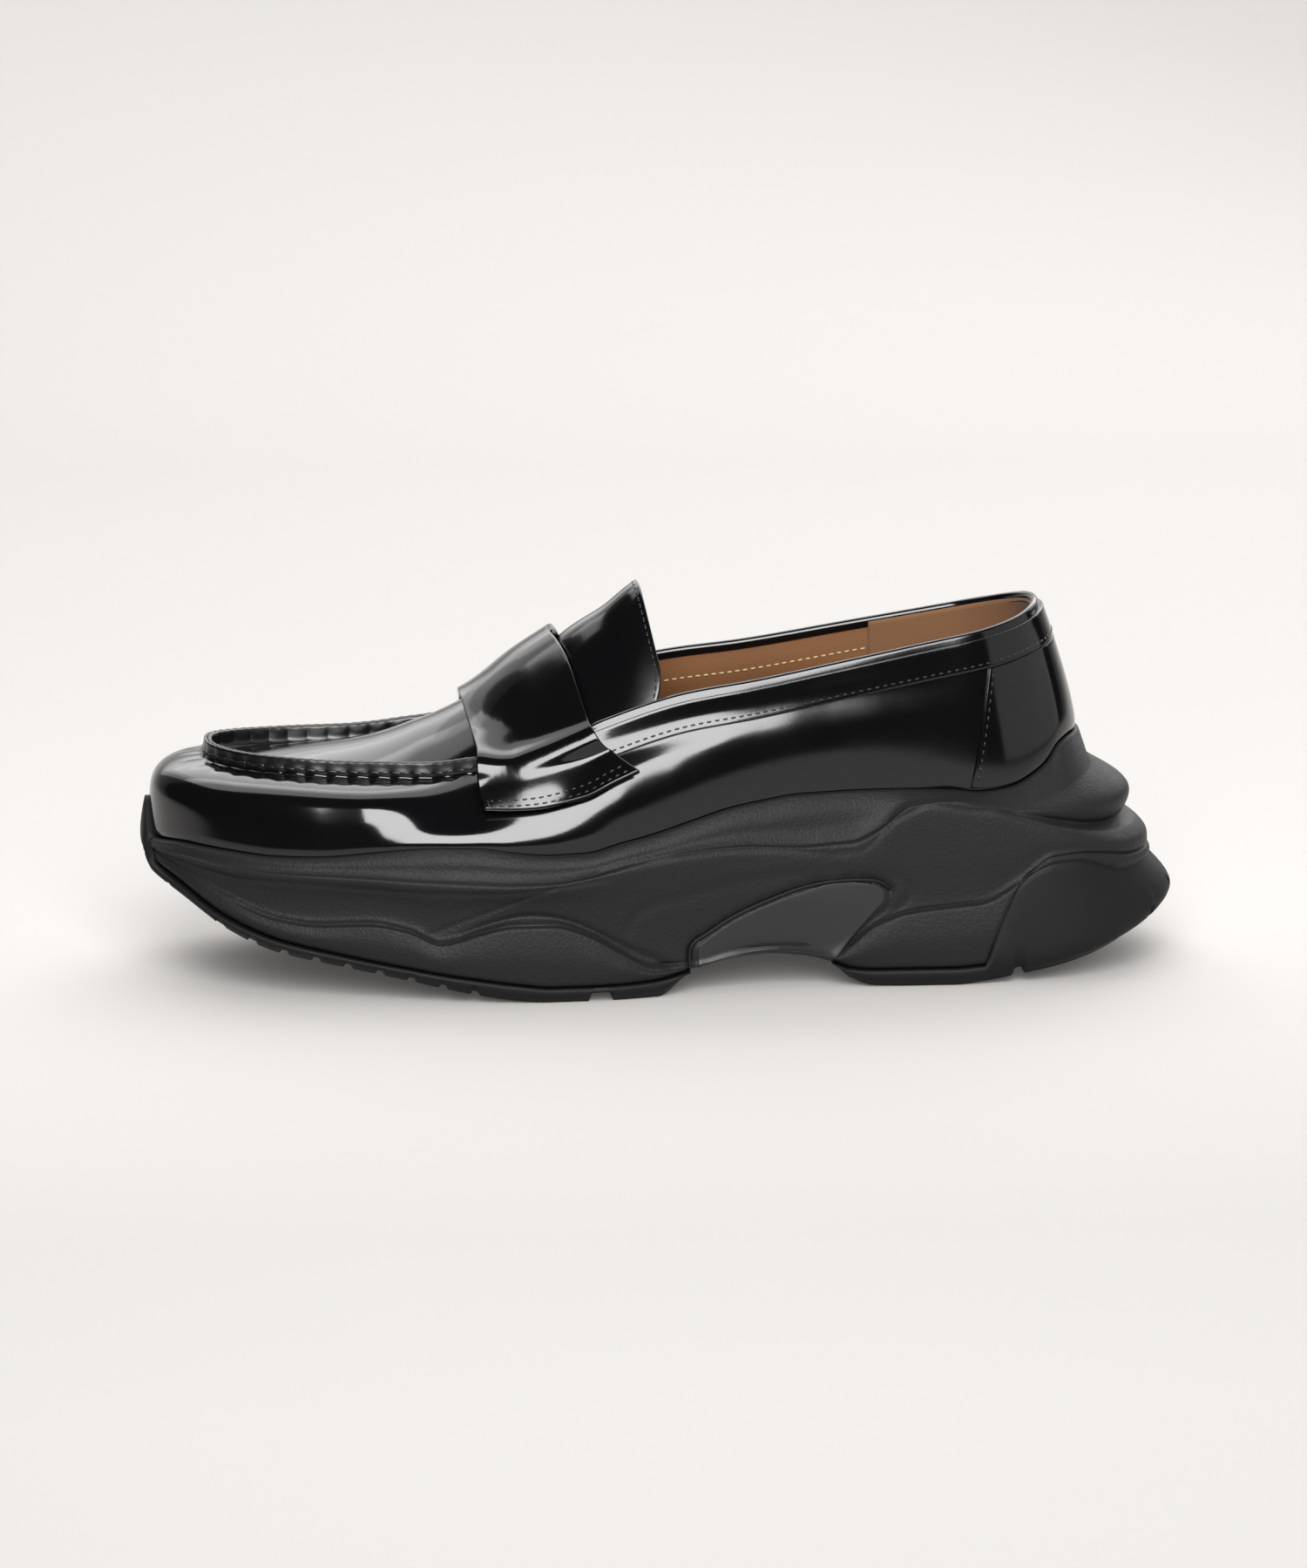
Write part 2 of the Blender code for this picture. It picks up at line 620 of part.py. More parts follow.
def sole_lines(w):
    """Rows (flare, height) of the midsole's side from its bottom edge to just under the rim."""
    station = station_of(w)
    joint, wave = line_height("joint", w), line_height("wave", w)
    ridge, notch, rim = line_height("ridge", w), line_height("notch", w), line_height("rim", w)
    low = np.minimum(cover_height(w), wave - WAVE_MARGIN)
    low = np.maximum(low, joint + COVER_STEP)
    shelf = wave + np.minimum(SHELF_RISE, 0.25 * (ridge - wave))
    groove = ridge + np.minimum(GROOVE_RISE, 0.3 * (notch - ridge))
    heights = {
        "joint": joint, "low_in": low, "low_out": low + COVER_STEP, "wave": wave + CREASE_RISE,
        "shelf": shelf + CREASE_RISE,
        "waist": (shelf + ridge) / 2, "ridge": ridge, "groove": groove, "lobe": (groove + notch) / 2, "notch": notch,
    }
    reach = cover_reach(w)
    depth = BUMPER_THICKNESS + BUMPER_GAP
    rows = []
    for name, z in heights.items():
        flare = FLARE[{"low_in": "joint", "low_out": "wave"}.get(name, name)](station)
        behind = np.minimum(flare, FLARE["wave"](station)) - depth / gap_width(w)
        level = joint if name == "low_in" else z
        rows.append((np.where(level < reach - COVER_STEP / 3, behind, flare), z))
    return rows


def cup_rows(w):
    """The rim over the upper and the cup's inner wall down to the footbed."""
    foot, rim = footbed_height(w), line_height("rim", w)
    inner = lower_inset(w, rim)
    notch_flare = sole_lines(w)[-1][0]
    return [
        upper_point(w, np.maximum(inner - GAP - LIP_WIDTH, RIM_SETBACK - notch_flare * gap_width(w)), rim - RIM_FALL),
        upper_point(w, inner - GAP - RIM_ROUND, rim),
        upper_point(w, inner - GAP, rim - RIM_ROUND),
        upper_point(w, lower_inset(w, (foot + rim) / 2) - GAP, (foot + rim) / 2),
        upper_point(w, lower_inset(w, foot) - GAP, foot),
    ]


def make_material(name, colour, roughness, metallic=0.0):
    material = bpy.data.materials.new(name)
    material.use_nodes = True
    shader = material.node_tree.nodes["Principled BSDF"]
    shader.inputs["Base Color"].default_value = (*colour, 1)
    shader.inputs["Roughness"].default_value = roughness
    shader.inputs["Metallic"].default_value = metallic
    return material


def make_midsole(material):
    body = Body()
    rows = [wall_point(RING, flare, z) for flare, z in sole_lines(RING)] + cup_rows(RING)
    rings = [body.add(row) for row in rows]
    for low, high in zip(rings, rings[1:]):
        body.strip(low, high, True)
    bottom, top = rows[0], rows[-1]
    pairs = range(1, LAST)
    body.span(rings[0], lambda i: chain_between(bottom[i], bottom[-i], CAP_CELL_COUNT, 0), pairs)
    body.span(rings[-1], lambda i: chain_between(top[i], top[-i], CAP_CELL_COUNT, 0), pairs)
    return body.build("midsole", material)


def make_upper(material):
    body = Body()
    outer = outer_rows(RING)
    wall = outer[:-3]
    inner = list(offset_rows(RING, wall, UPPER_WALL))
    inner[0][:, 2] = wall[0][:, 2]
    out_rings = [body.add(row) for row in outer]
    in_rings = [body.add(row) for row in inner]
    for rings in (out_rings, in_rings):
        for low, high in zip(rings, rings[1:]):
            body.strip(low, high, True)
    body.strip(out_rings[0], in_rings[0], True)
    throat = index_at(THROAT)
    pairs = range(1, throat + 1)
    rise = crown(upper_station(RING))
    plug = body.span(out_rings[-1], lambda i: chain_between(outer[-1][i], outer[-1][-i], PLUG_CELL_COUNT, rise[i]),
                     pairs, (True, False))
    lining = body.span(in_rings[-1], lambda i: chain_between(inner[-1][i], inner[-1][-i], PLUG_CELL_COUNT, rise[i]),
                       pairs, (True, False))
    body.strip(plug[-1], lining[-1], False)
    collar = list(range(throat, len(RING) - throat + 1))
    body.strip([out_rings[-1][i] for i in collar], [in_rings[-1][i] for i in collar], False)
    return body.build("upper", material)


def thick_sheet(name, material, outer, inner, cells=None, loop=False):
    """A closed sheet from two grids of points; cells(row, column) says which squares of the grid are kept."""
    body = Body()
    rows, columns = len(outer), len(outer[0])
    faces = [body.add(outer), body.add(inner)]
    used = {}
    kept = []
    for r in range(rows - 1):
        for c in range(columns if loop else columns - 1):
            if cells is None or cells(r, c):
                d = (c + 1) % columns
                kept.append((r * columns + c, r * columns + d, (r + 1) * columns + d, (r + 1) * columns + c))
    for square in kept:
        body.faces.append(tuple(faces[0][k] for k in square))
        body.faces.append(tuple(faces[1][k] for k in reversed(square)))
        for a, b in zip(square, square[1:] + square[:1]):
            used[(a, b)] = (b, a)
    for a, b in used:
        if (b, a) not in used:
            body.faces.append((faces[0][b], faces[0][a], faces[1][a], faces[1][b]))
    taken = sorted({k for face in body.faces for k in face})
    renamed = {k: i for i, k in enumerate(taken)}
    body.points = [body.points[k] for k in taken]
    body.faces = [tuple(renamed[k] for k in face) for face in body.faces]
    return body.build(name, material)


def outsole_rows(w):
    """Rows of an outsole from its tread edge out and up the side, over the edge and down to its seat."""
    station = station_of(w)
    tread, joint, rim = line_height("tread", w), line_height("joint", w), line_height("rim", w)
    top = cover_height(w) - GAP
    share = covered_share(w)
    seat = joint - GAP - SEAT_DROP * (1 - share)
    depth = BUMPER_THICKNESS / gap_width(w)
    inner = np.where(share > 0, FLARE["wave"](station), FLARE["joint"](station)) - depth
    above = top > rim - TOE_BUMPER_OVERLAP
    clear = (GAP - lower_inset(w, top)) / gap_width(w) + 0.1
    edge = np.where(above, np.maximum(inner, clear), inner)
    flush = (1 - share) * FLARE["side"](station) + share * FLARE["wave"](station)
    crest = np.where(above, np.maximum(flush, clear + 0.8 * BUMPER_THICKNESS / gap_width(w)), flush)
    return [
        wall_point(w, FLARE["tread"](station), tread),
        wall_point(w, FLARE["side"](station), tread + np.minimum(0.5 * (top - tread), SIDE_ROUND_HEIGHT)),
        wall_point(w, crest, top - COVER_ROUND),
        wall_point(w, edge, top),
        wall_point(w, inner, seat),
    ]


def make_outsole(name, material, first, last, tip):
    """Rubber under one end of the sole; tip is the ring place at its round end."""
    body = Body()
    indices = [(tip + k) % len(RING) for k in range(-(last - first), last - first + 1)]
    shares = RING[indices]
    rows = outsole_rows(shares)
    chains = [body.add(row) for row in rows]
    for low, high in zip(chains, chains[1:]):
        body.strip(low, high, False)
    half = len(indices) // 2
    ends = []
    for row, ring in ((rows[0], chains[0]), (rows[-1], chains[-1])):
        spans = [[ring[half - k], *body.add(chain_between(row[half - k], row[half + k], CAP_CELL_COUNT, 0)),
                  ring[half + k]] for k in range(1, half + 1)]
        for one, two in zip(spans, spans[1:]):
            body.strip(one, two, False)
        body.fan(ring[half], spans[0])
        ends.append(spans[-1])
    rim = [chain[0] for chain in chains[1:-1]]
    far_rim = [chain[-1] for chain in chains[1:-1]]
    under, over = ends
    body.faces.append(tuple(under[::-1] + rim + over + far_rim[::-1]))
    return body.build(name, material)


def bar(place, turn, size):
    """Eight corners and six faces of a box at a place, turned about the sole's width."""
    corners = np.array([(x, y, z) for x in (-0.5, 0.5) for y in (-0.5, 0.5) for z in (-0.5, 0.5)]) * size
    c, s = math.cos(turn), math.sin(turn)
    spun = np.stack([corners[:, 0] * c + corners[:, 2] * s, corners[:, 1], corners[:, 2] * c - corners[:, 0] * s], -1)
    faces = [(0, 1, 3, 2), (4, 6, 7, 5), (0, 4, 5, 1), (2, 3, 7, 6), (0, 2, 6, 4), (1, 5, 7, 3)]
    return spun + place, faces


def cut(target, cutters):
    """Cuts closed boxes out of a piece."""
    for points, faces in cutters:
        tool = Body()
        tool.add(points)
        tool.faces = list(faces)
        cut_with(target, tool.build("cutter", None))


def cut_with(target, cutter):
    """Cuts a closed mesh out of a piece and removes the cutter."""
    cutter.hide_render = True
    cutter.display_type = "WIRE"
    boolean = target.modifiers.new("cut", "BOOLEAN")
    boolean.operation = "DIFFERENCE"
    boolean.solver = "EXACT"
    boolean.object = cutter
    bpy.context.view_layer.update()
    mesh = bpy.data.meshes.new_from_object(target.evaluated_get(bpy.context.evaluated_depsgraph_get()))
    target.modifiers.remove(boolean)
    target.data = mesh
    bpy.data.objects.remove(cutter)
    tidy(target)


def tidy(target):
    work = bmesh.new()
    work.from_mesh(target.data)
    bmesh.ops.remove_doubles(work, verts=work.verts, dist=0.00005)
    bmesh.ops.dissolve_degenerate(work, edges=work.edges, dist=0.00005)
    bmesh.ops.triangulate(work, faces=work.faces)
    work.to_mesh(target.data)
    work.free()


def tread_bar(station, depth, width, lean=0.0):
    """A groove across the sole at a station, square to the tread's slope there."""
    x = station_x(station)
    low = SOLE_SIDE_HEIGHT * LINE["tread"](station)
    slope = SOLE_SIDE_HEIGHT * float(LINE["tread"](station + 0.01) - LINE["tread"](station - 0.01))
    turn = -math.atan2(slope, 0.02 * SHOE_LENGTH)
    height = 2 * (depth + EXTRA_CUT)
    place = np.array([x + math.sin(turn) * (depth - height / 2), 0, low + math.cos(turn) * (depth - height / 2)])
    return bar(place, turn + lean, np.array([width, SOLE_WIDTH * 1.3, height]))


def cover_patch(name, material, columns, low, high, thickness, rows, slant=0.0):
    """A sheet that lies on the upper's outer face, from height low to height high at each ring place.

    Its two front edges lean back towards their tops by slant.
    """
    outer, inner = [], []
    for k in range(rows + 1):
        shares = wrap(RING[columns])
        shares[0] -= slant * (k / rows - 0.6) / HALF_GIRTH
        shares[-1] += slant * (k / rows - 0.6) / HALF_GIRTH
        z = low(shares) + (high(shares) - low(shares)) * k / rows
        place, normal = wall_at(shares, z)
        inner.append(place + normal * COVER_GAP)
        outer.append(place + normal * (COVER_GAP + thickness))
    return thick_sheet(name, material, outer, inner)


def wall_at(w, z):
    """Point and outward normal of the upper's side at a height."""
    step = 1e-3
    rise = PROBE_RISE

    def point(v, height):
        belly = belly_height(v)
        ts = np.linspace(0, 1, 33)
        inset = lower_inset(v, height)
        curve_inset, curve_z = shoulder(v[..., None], ts)
        upper_part = np.array([np.interp(h, cz, ci) for h, cz, ci in zip(height, curve_z, curve_inset)])
        return upper_point(v, np.where(height > belly, upper_part, inset), height)

    here = point(w, z)
    along = point(w + step, z) - point(w - step, z)
    up = point(w, z + rise) - point(w, z - rise)
    top = top_height(w)
    up = np.where((z + rise > top)[..., None], here - point(w, z - rise), up)
    normal = -np.cross(along, up)
    return here, normal / np.linalg.norm(normal, axis=-1, keepdims=True)


def upper_inner_edge(w, drop, clearance):
    """A point just inside the collar or the seam, a little below the upper's top."""
    z = top_height(w) - drop
    place, normal = wall_at(w, z)
    return place - normal * (UPPER_WALL + clearance)


def make_insole(material):
    body = Body()
    low = footbed_height(RING) + GAP
    side = FOOT_INSET + UPPER_WALL + GAP
    rows = [upper_point(RING, np.full_like(RING, side + INSOLE_CHAMFER), low),
            upper_point(RING, np.full_like(RING, side), low + 0.5 * INSOLE_THICKNESS),
            upper_point(RING, np.full_like(RING, side + INSOLE_CHAMFER), low + INSOLE_THICKNESS)]
    rings = [body.add(row) for row in rows]
    for one, two in zip(rings, rings[1:]):
        body.strip(one, two, True)
    for row, ring in ((rows[0], rings[0]), (rows[-1], rings[-1])):
        body.span(ring, lambda i: chain_between(row[i], row[-i], CAP_CELL_COUNT, 0), range(1, LAST))
    return body.build("insole", material)


def spline(points, samples):
    """Catmull-Rom curve through points, with the given number of samples on each stretch."""
    points = np.asarray(points)
    ends = np.concatenate([[2 * points[0] - points[1]], points, [2 * points[-1] - points[-2]]])
    curve = []
    for p0, p1, p2, p3 in zip(ends, ends[1:], ends[2:], ends[3:]):
        for t in np.arange(samples) / samples:
            curve.append(0.5 * (2 * p1 + (p2 - p0) * t + (2 * p0 - 5 * p1 + 4 * p2 - p3) * t**2
                                + (3 * p1 - p0 - 3 * p2 + p3) * t**3))
    curve.append(points[-1])
    return np.array(curve)


def plug_top(station):
    """Height of the plug's middle at a station of the sole."""
    share = share_at(station)
    lateral, medial = np.array(-share), np.array(share)
    base = float(top_height(lateral) + top_height(medial)) / 2
    return base + float(crown(upper_station(medial)))


def strap_section(station):
    """Path of the strap's inner face over the foot at a station, from its lateral to its medial end."""
    share = share_at(station)
    sides = []
    for w in (np.array([-share]), np.array([share])):
        end = line_height("rim", w) + STRAP_END_RISE + STRAP_END_SLOPE * (station - STRAP_FRONT_END)
        top = top_height(w)
        low, low_normal = wall_at(w, end)
        middle, middle_normal = wall_at(w, 0.5 * (end + top))
        corner = upper_point(w, top_inset(w) - STRAP_CORNER_OUT, top + ridge_height(w) + STRAP_CORNER_UP)
        seam = upper_point(w, top_inset(w), top)
        sides.append((low[0] + STRAP_STANDOFF * low_normal[0], middle[0] + STRAP_STANDOFF * middle_normal[0],
                      corner[0], seam[0]))
    (low, middle, corner, seam), (far_low, far_middle, far_corner, far_seam) = sides
    rise = plug_top(station) - (seam[2] + far_seam[2]) / 2
    lift = np.array([0, 0, STRAP_LIFT])
    over = [seam + (far_seam - seam) * t + np.array([0, 0, rise * (1 - (2 * t - 1) ** 2)]) + lift
            for t in (0.25, 0.5, 0.75)]
    return spline([low, middle, corner, *over, far_corner, far_middle, far_low], 2)


def grid_normals(grid):
    across = np.gradient(grid, axis=0)
    along = np.gradient(grid, axis=1)
    normal = np.cross(along, across)
    return normal / np.linalg.norm(normal, axis=-1, keepdims=True)


def make_strap(material):
    stations = np.linspace(STRAP_FRONT_TOP, STRAP_REAR_END, 13)
    sections = np.array([strap_section(s) for s in stations])
    rows = sections.shape[1]
    grid = np.zeros((rows, STRAP_CELL_COUNT + 1, 3))
    for r in range(rows):
        side = abs(2 * r / (rows - 1) - 1)
        front = STRAP_FRONT_TOP + (STRAP_FRONT_END - STRAP_FRONT_TOP) * side**1.2
        rear = STRAP_REAR_TOP + (STRAP_REAR_END - STRAP_REAR_TOP) * side**1.3
        for c in range(STRAP_CELL_COUNT + 1):
            station = front + (rear - front) * c / STRAP_CELL_COUNT
            grid[r, c] = [np.interp(station, stations, sections[:, r, k]) for k in range(3)]
    return thick_sheet("strap", material, grid + grid_normals(grid) * STRAP_THICKNESS, grid)


def make_tongue(material):
    shape = np.linspace(-1, 1, TONGUE_CELL_COUNT + 1)
    grid = np.zeros((TONGUE_ROW_COUNT + 1, TONGUE_CELL_COUNT + 1, 3))
    for c, v in enumerate(shape):
        tip = TONGUE_TIP + TONGUE_SIDE_REACH * abs(v) ** 1.5 - TONGUE_CORNER * max(0, abs(v) - 0.8) / 0.2
        for r in range(TONGUE_ROW_COUNT + 1):
            station = TONGUE_START + (tip - TONGUE_START) * r / TONGUE_ROW_COUNT
            share = share_at(station)
            near, far = (upper_inner_edge(np.array([w]), TONGUE_EDGE_DROP, TONGUE_CLEARANCE)[0]
                         for w in (-share, share))
            along = np.clip((station - TONGUE_START) / (TONGUE_TIP - TONGUE_START), 0, 1)
            power = 2 + 0.6 * along
            place = near + (far - near) * (v + 1) / 2
            centre = COLLAR_HEIGHT * TONGUE_LINE(station)
            place[2] += (centre - (near[2] + far[2]) / 2) * (1 - abs(v) ** power)
            grid[r, c] = place
    normal = -grid_normals(grid)
    return thick_sheet("tongue", material, grid, grid - normal * TONGUE_THICKNESS)


def topline_drop(w):
    return top_height(w) - BAND_EDGE_DROP


def band_low(w):
    return top_height(w) - BAND_EDGE_DROP - BAND_WIDTH


def counter_low(w):
    return line_height("rim", w) + COUNTER_RISE


def counter_high(w):
    return band_low(w) - GAP


def midsole_side(w, z):
    """Points of the midsole's outer side at a height."""
    lines = sole_lines(w)
    flares = np.array([line[0] for line in lines])
    heights = np.array([line[1] + np.zeros_like(w) for line in lines])
    flare = np.array([np.interp(z[i], heights[:, i], flares[:, i]) for i in range(len(w))])
    return wall_point(w, flare, z)


def shank_grid(margin):
    """Rows from the top of the lateral cheek, under the arch, to the top of the medial cheek."""
    stations = np.linspace(CHEEK_ROWS[0][0], CHEEK_ROWS[-1][0], SHANK_CELL_COUNT + 1)
    under = stations < REAR_OUTSOLE_START
    high = SOLE_SIDE_HEIGHT * CHEEK_HIGH(stations)
    joint = SOLE_SIDE_HEIGHT * LINE["joint"](stations)
    low = np.where(under, joint, np.maximum(SOLE_SIDE_HEIGHT * CHEEK_LOW(stations), joint))
    heights = [high + (low - high) * k / SHANK_ROW_COUNT for k in range(SHANK_ROW_COUNT + 1)]
    bare = int(np.sum(under)) - 1
    stations[bare] += margin / SHOE_LENGTH
    heights[0] = heights[0] + margin
    heights[-1] = np.where(under, heights[-1], heights[-1] - margin)
    stations[0] -= margin / SHOE_LENGTH
    stations[-1] += margin / SHOE_LENGTH
    shares = np.array([share_at(s) for s in stations])
    rows = [midsole_side(-shares, z) for z in heights]
    far = [midsole_side(shares, z) for z in heights[::-1]]
    near = rows[-1]
    rows += [near + (far[0] - near) * k / 4 for k in range(1, 4)] + far
    into = np.zeros((len(rows), len(stations), 3))
    into[:SHANK_ROW_COUNT + 1, :, 1] = 1
    into[-SHANK_ROW_COUNT - 1:, :, 1] = -1
    into[SHANK_ROW_COUNT:SHANK_ROW_COUNT + 5, :bare + 1, 2] = 1

    def kept(r, c):
        return c < bare or r < SHANK_ROW_COUNT or r >= SHANK_ROW_COUNT + 4

    return np.array(rows), into, kept


def make_shank(material, midsole):
    grid, into, kept = shank_grid(0)
    wide, _, _ = shank_grid(GAP)
    plate = thick_sheet("shank_plate", material, grid, grid + into * SHANK_THICKNESS, kept)
    pocket = thick_sheet("pocket", None, wide - into * EXTRA_CUT, wide + into * (SHANK_THICKNESS + GAP), kept)
    cut_with(midsole, pocket)
    return plate


def clear_scene():
    for old in list(bpy.data.objects):
        bpy.data.objects.remove(old)


def main():
    clear_scene()
    leather = make_material("polished_leather", (0.012, 0.012, 0.013), 0.18)
    foam = make_material("midsole_foam", (0.035, 0.036, 0.038), 0.6)
    rubber = make_material("outsole_rubber", (0.03, 0.03, 0.032), 0.55)
    lining = make_material("tan_lining", (0.38, 0.2, 0.1), 0.6)
    plastic = make_material("shank_plastic", (0.03, 0.03, 0.032), 0.4)
    midsole = make_midsole(foam)
    make_upper(leather)
    make_insole(lining)
    front = index_at(FRONT_OUTSOLE_END)
    rear = index_at(REAR_OUTSOLE_START)
    toe_rubber = make_outsole("outsole_front", rubber, 0, front, 0)
    heel_rubber = make_outsole("outsole_heel", rubber, rear, LAST, LAST)
    cut(toe_rubber, [tread_bar(s, FLEX_GROOVE_DEPTH if s == FLEX_STATION else LUG_DEPTH,
                               FLEX_GROOVE_WIDTH if s == FLEX_STATION else LUG_GROOVE_WIDTH) for s in TOE_GROOVES])
    cut(heel_rubber, [tread_bar(s, LUG_DEPTH, LUG_GROOVE_WIDTH) for s in HEEL_GROOVES])
    make_shank(plastic, midsole)
    make_strap(leather)
    make_tongue(leather)
    counter = index_at(COUNTER_FRONT)
    cover_patch("heel_counter", leather, list(range(counter, len(RING) - counter + 1)), counter_low, counter_high,
                COUNTER_THICKNESS, 5, COUNTER_SLANT)
    band = index_at(BAND_FRONT)
    cover_patch("topline_band", leather, list(range(band, len(RING) - band + 1)), band_low, topline_drop,
                BAND_THICKNESS, 2)


main()
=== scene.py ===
"""Looks of a chunky-soled strap loafer, left shoe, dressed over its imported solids.

The toe points to -X, the outer (lateral) side of the foot faces -Y and the sole stands on z = 0.
The shape functions follow the ones that the solids were made with, sampled here at a much finer step.
A place round the shoe is a signed share w: 0 is the toe tip, -1 and 1 are the back of the heel,
negative is the lateral side and positive the medial side.
"""

import math

import bmesh
import bpy
import numpy as np
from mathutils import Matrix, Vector


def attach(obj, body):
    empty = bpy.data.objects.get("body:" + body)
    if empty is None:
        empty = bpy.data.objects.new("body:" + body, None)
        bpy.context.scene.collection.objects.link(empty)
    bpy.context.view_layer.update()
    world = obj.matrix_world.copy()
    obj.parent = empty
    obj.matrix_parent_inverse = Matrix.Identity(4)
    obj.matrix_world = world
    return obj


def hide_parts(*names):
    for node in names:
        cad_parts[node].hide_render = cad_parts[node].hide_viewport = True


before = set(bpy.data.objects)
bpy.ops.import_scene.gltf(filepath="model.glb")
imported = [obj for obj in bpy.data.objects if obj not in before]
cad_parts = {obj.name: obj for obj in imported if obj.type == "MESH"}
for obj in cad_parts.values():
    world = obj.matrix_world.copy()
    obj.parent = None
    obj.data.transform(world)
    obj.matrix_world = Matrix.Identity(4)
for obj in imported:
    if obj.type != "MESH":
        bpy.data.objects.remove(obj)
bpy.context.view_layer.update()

MM = 0.001

# Driving sizes of the sole
SHOE_LENGTH = 320 * MM
SOLE_WIDTH = 114 * MM
SOLE_SIDE_HEIGHT = 60 * MM
BUMPER_THICKNESS = 2.2 * MM
SIDE_ROUND_HEIGHT = 6.5 * MM
TOE_BUMPER_HEIGHT = 54 * MM
SOLE_TOE_ROUND = 56 * MM
SOLE_HEEL_ROUND = 48 * MM
TOE_SWING = 5 * MM
LIP_WIDTH = 1.8 * MM
LUG_DEPTH = 2.2 * MM
LUG_GROOVE_WIDTH = 3 * MM
FLEX_GROOVE_DEPTH = 3.6 * MM
FLEX_GROOVE_WIDTH = 6 * MM

# Driving sizes of the upper
UPPER_TOE_SETBACK = 2.8 * MM
HEEL_OVERHANG = 31.2 * MM
UPPER_WIDTH = 100 * MM
COLLAR_HEIGHT = 113.5 * MM
UPPER_WALL = 2.2 * MM
UPPER_TOE_ROUND = 52 * MM
UPPER_HEEL_ROUND = 36 * MM
FOOT_INSET = 4 * MM
SEAM_RIDGE_HEIGHT = 5 * MM
SEAM_RIDGE_WIDTH = 2.8 * MM
COLLAR_ROLL_HEIGHT = 0.8 * MM
STRAP_THICKNESS = 2 * MM
STRAP_STANDOFF = 1.9 * MM
STRAP_LIFT = 2 * MM
TONGUE_THICKNESS = 2.2 * MM
COUNTER_SLANT = 7 * MM
BAND_WIDTH = 9.2 * MM
BAND_EDGE_DROP = 1.2 * MM
INSOLE_THICKNESS = 3.5 * MM
SHANK_THICKNESS = 2.2 * MM

# Small forms and edge rounds
COVER_STEP = 0.3 * MM
COVER_EASE = 1.5 * MM
COVER_ROUND = 0.2 * MM
CREASE_RISE = 0.4 * MM
SHELF_RISE = 1.8 * MM
SHELF_SHARE = 0.25
GROOVE_RISE = 2.2 * MM
GROOVE_SHARE = 0.3
RIM_SETBACK = 0.2 * MM
RIM_FALL = 0.6 * MM
RIM_ROUND = 0.3 * MM
SEAT_DROP = 0.25 * MM
TOE_BUMPER_OVERLAP = 3 * MM
INSOLE_CHAMFER = 0.4 * MM
COUNTER_RISE = 0.8 * MM

# Steps and sample counts that slopes, normals and heights on a wall are measured with
PROBE_RISE = 0.5 * MM
PROBE_SHARE = 1e-3
PROBE_PITCH = 0.05
PROBE_COUNT = 33

# Running clearances between pieces
GAP = 0.3 * MM

TOE_X = -SHOE_LENGTH / 2
HEEL_X = SHOE_LENGTH / 2
UPPER_TOE_X = TOE_X + UPPER_TOE_SETBACK
UPPER_HEEL_X = HEEL_X - HEEL_OVERHANG
UPPER_LENGTH = UPPER_HEEL_X - UPPER_TOE_X

# How round the ends of the two outlines are, and where the upper's outline fans out against the sole's
SOLE_TOE_POWER = 2.3
SOLE_HEEL_POWER = 2.3
UPPER_TOE_POWER = 2.3
UPPER_HEEL_POWER = 2.1
HEEL_FAN_START = 0.79
HEEL_FAN_SLOPE = 0.32
TOE_FAN_END = 0.15
SWING_END = 0.30

# Half widths of the two outlines, as shares of the sole's and the upper's ball width
OUTLINE_COLUMNS = ("station", "sole_lateral", "sole_medial", "upper_lateral", "upper_medial")
OUTLINE_ROWS = (
    (0.00, 0.400, 0.410, 0.385, 0.395),
    (0.17, 0.445, 0.455, 0.445, 0.450),
    (0.26, 0.482, 0.496, 0.485, 0.490),
    (0.34, 0.500, 0.500, 0.505, 0.482),
    (0.42, 0.495, 0.465, 0.492, 0.445),
    (0.50, 0.465, 0.428, 0.452, 0.398),
    (0.59, 0.425, 0.395, 0.402, 0.362),
    (0.68, 0.400, 0.385, 0.367, 0.346),
    (0.78, 0.400, 0.390, 0.345, 0.335),
    (0.88, 0.395, 0.390, 0.338, 0.332),
    (1.00, 0.385, 0.380, 0.330, 0.326),
)

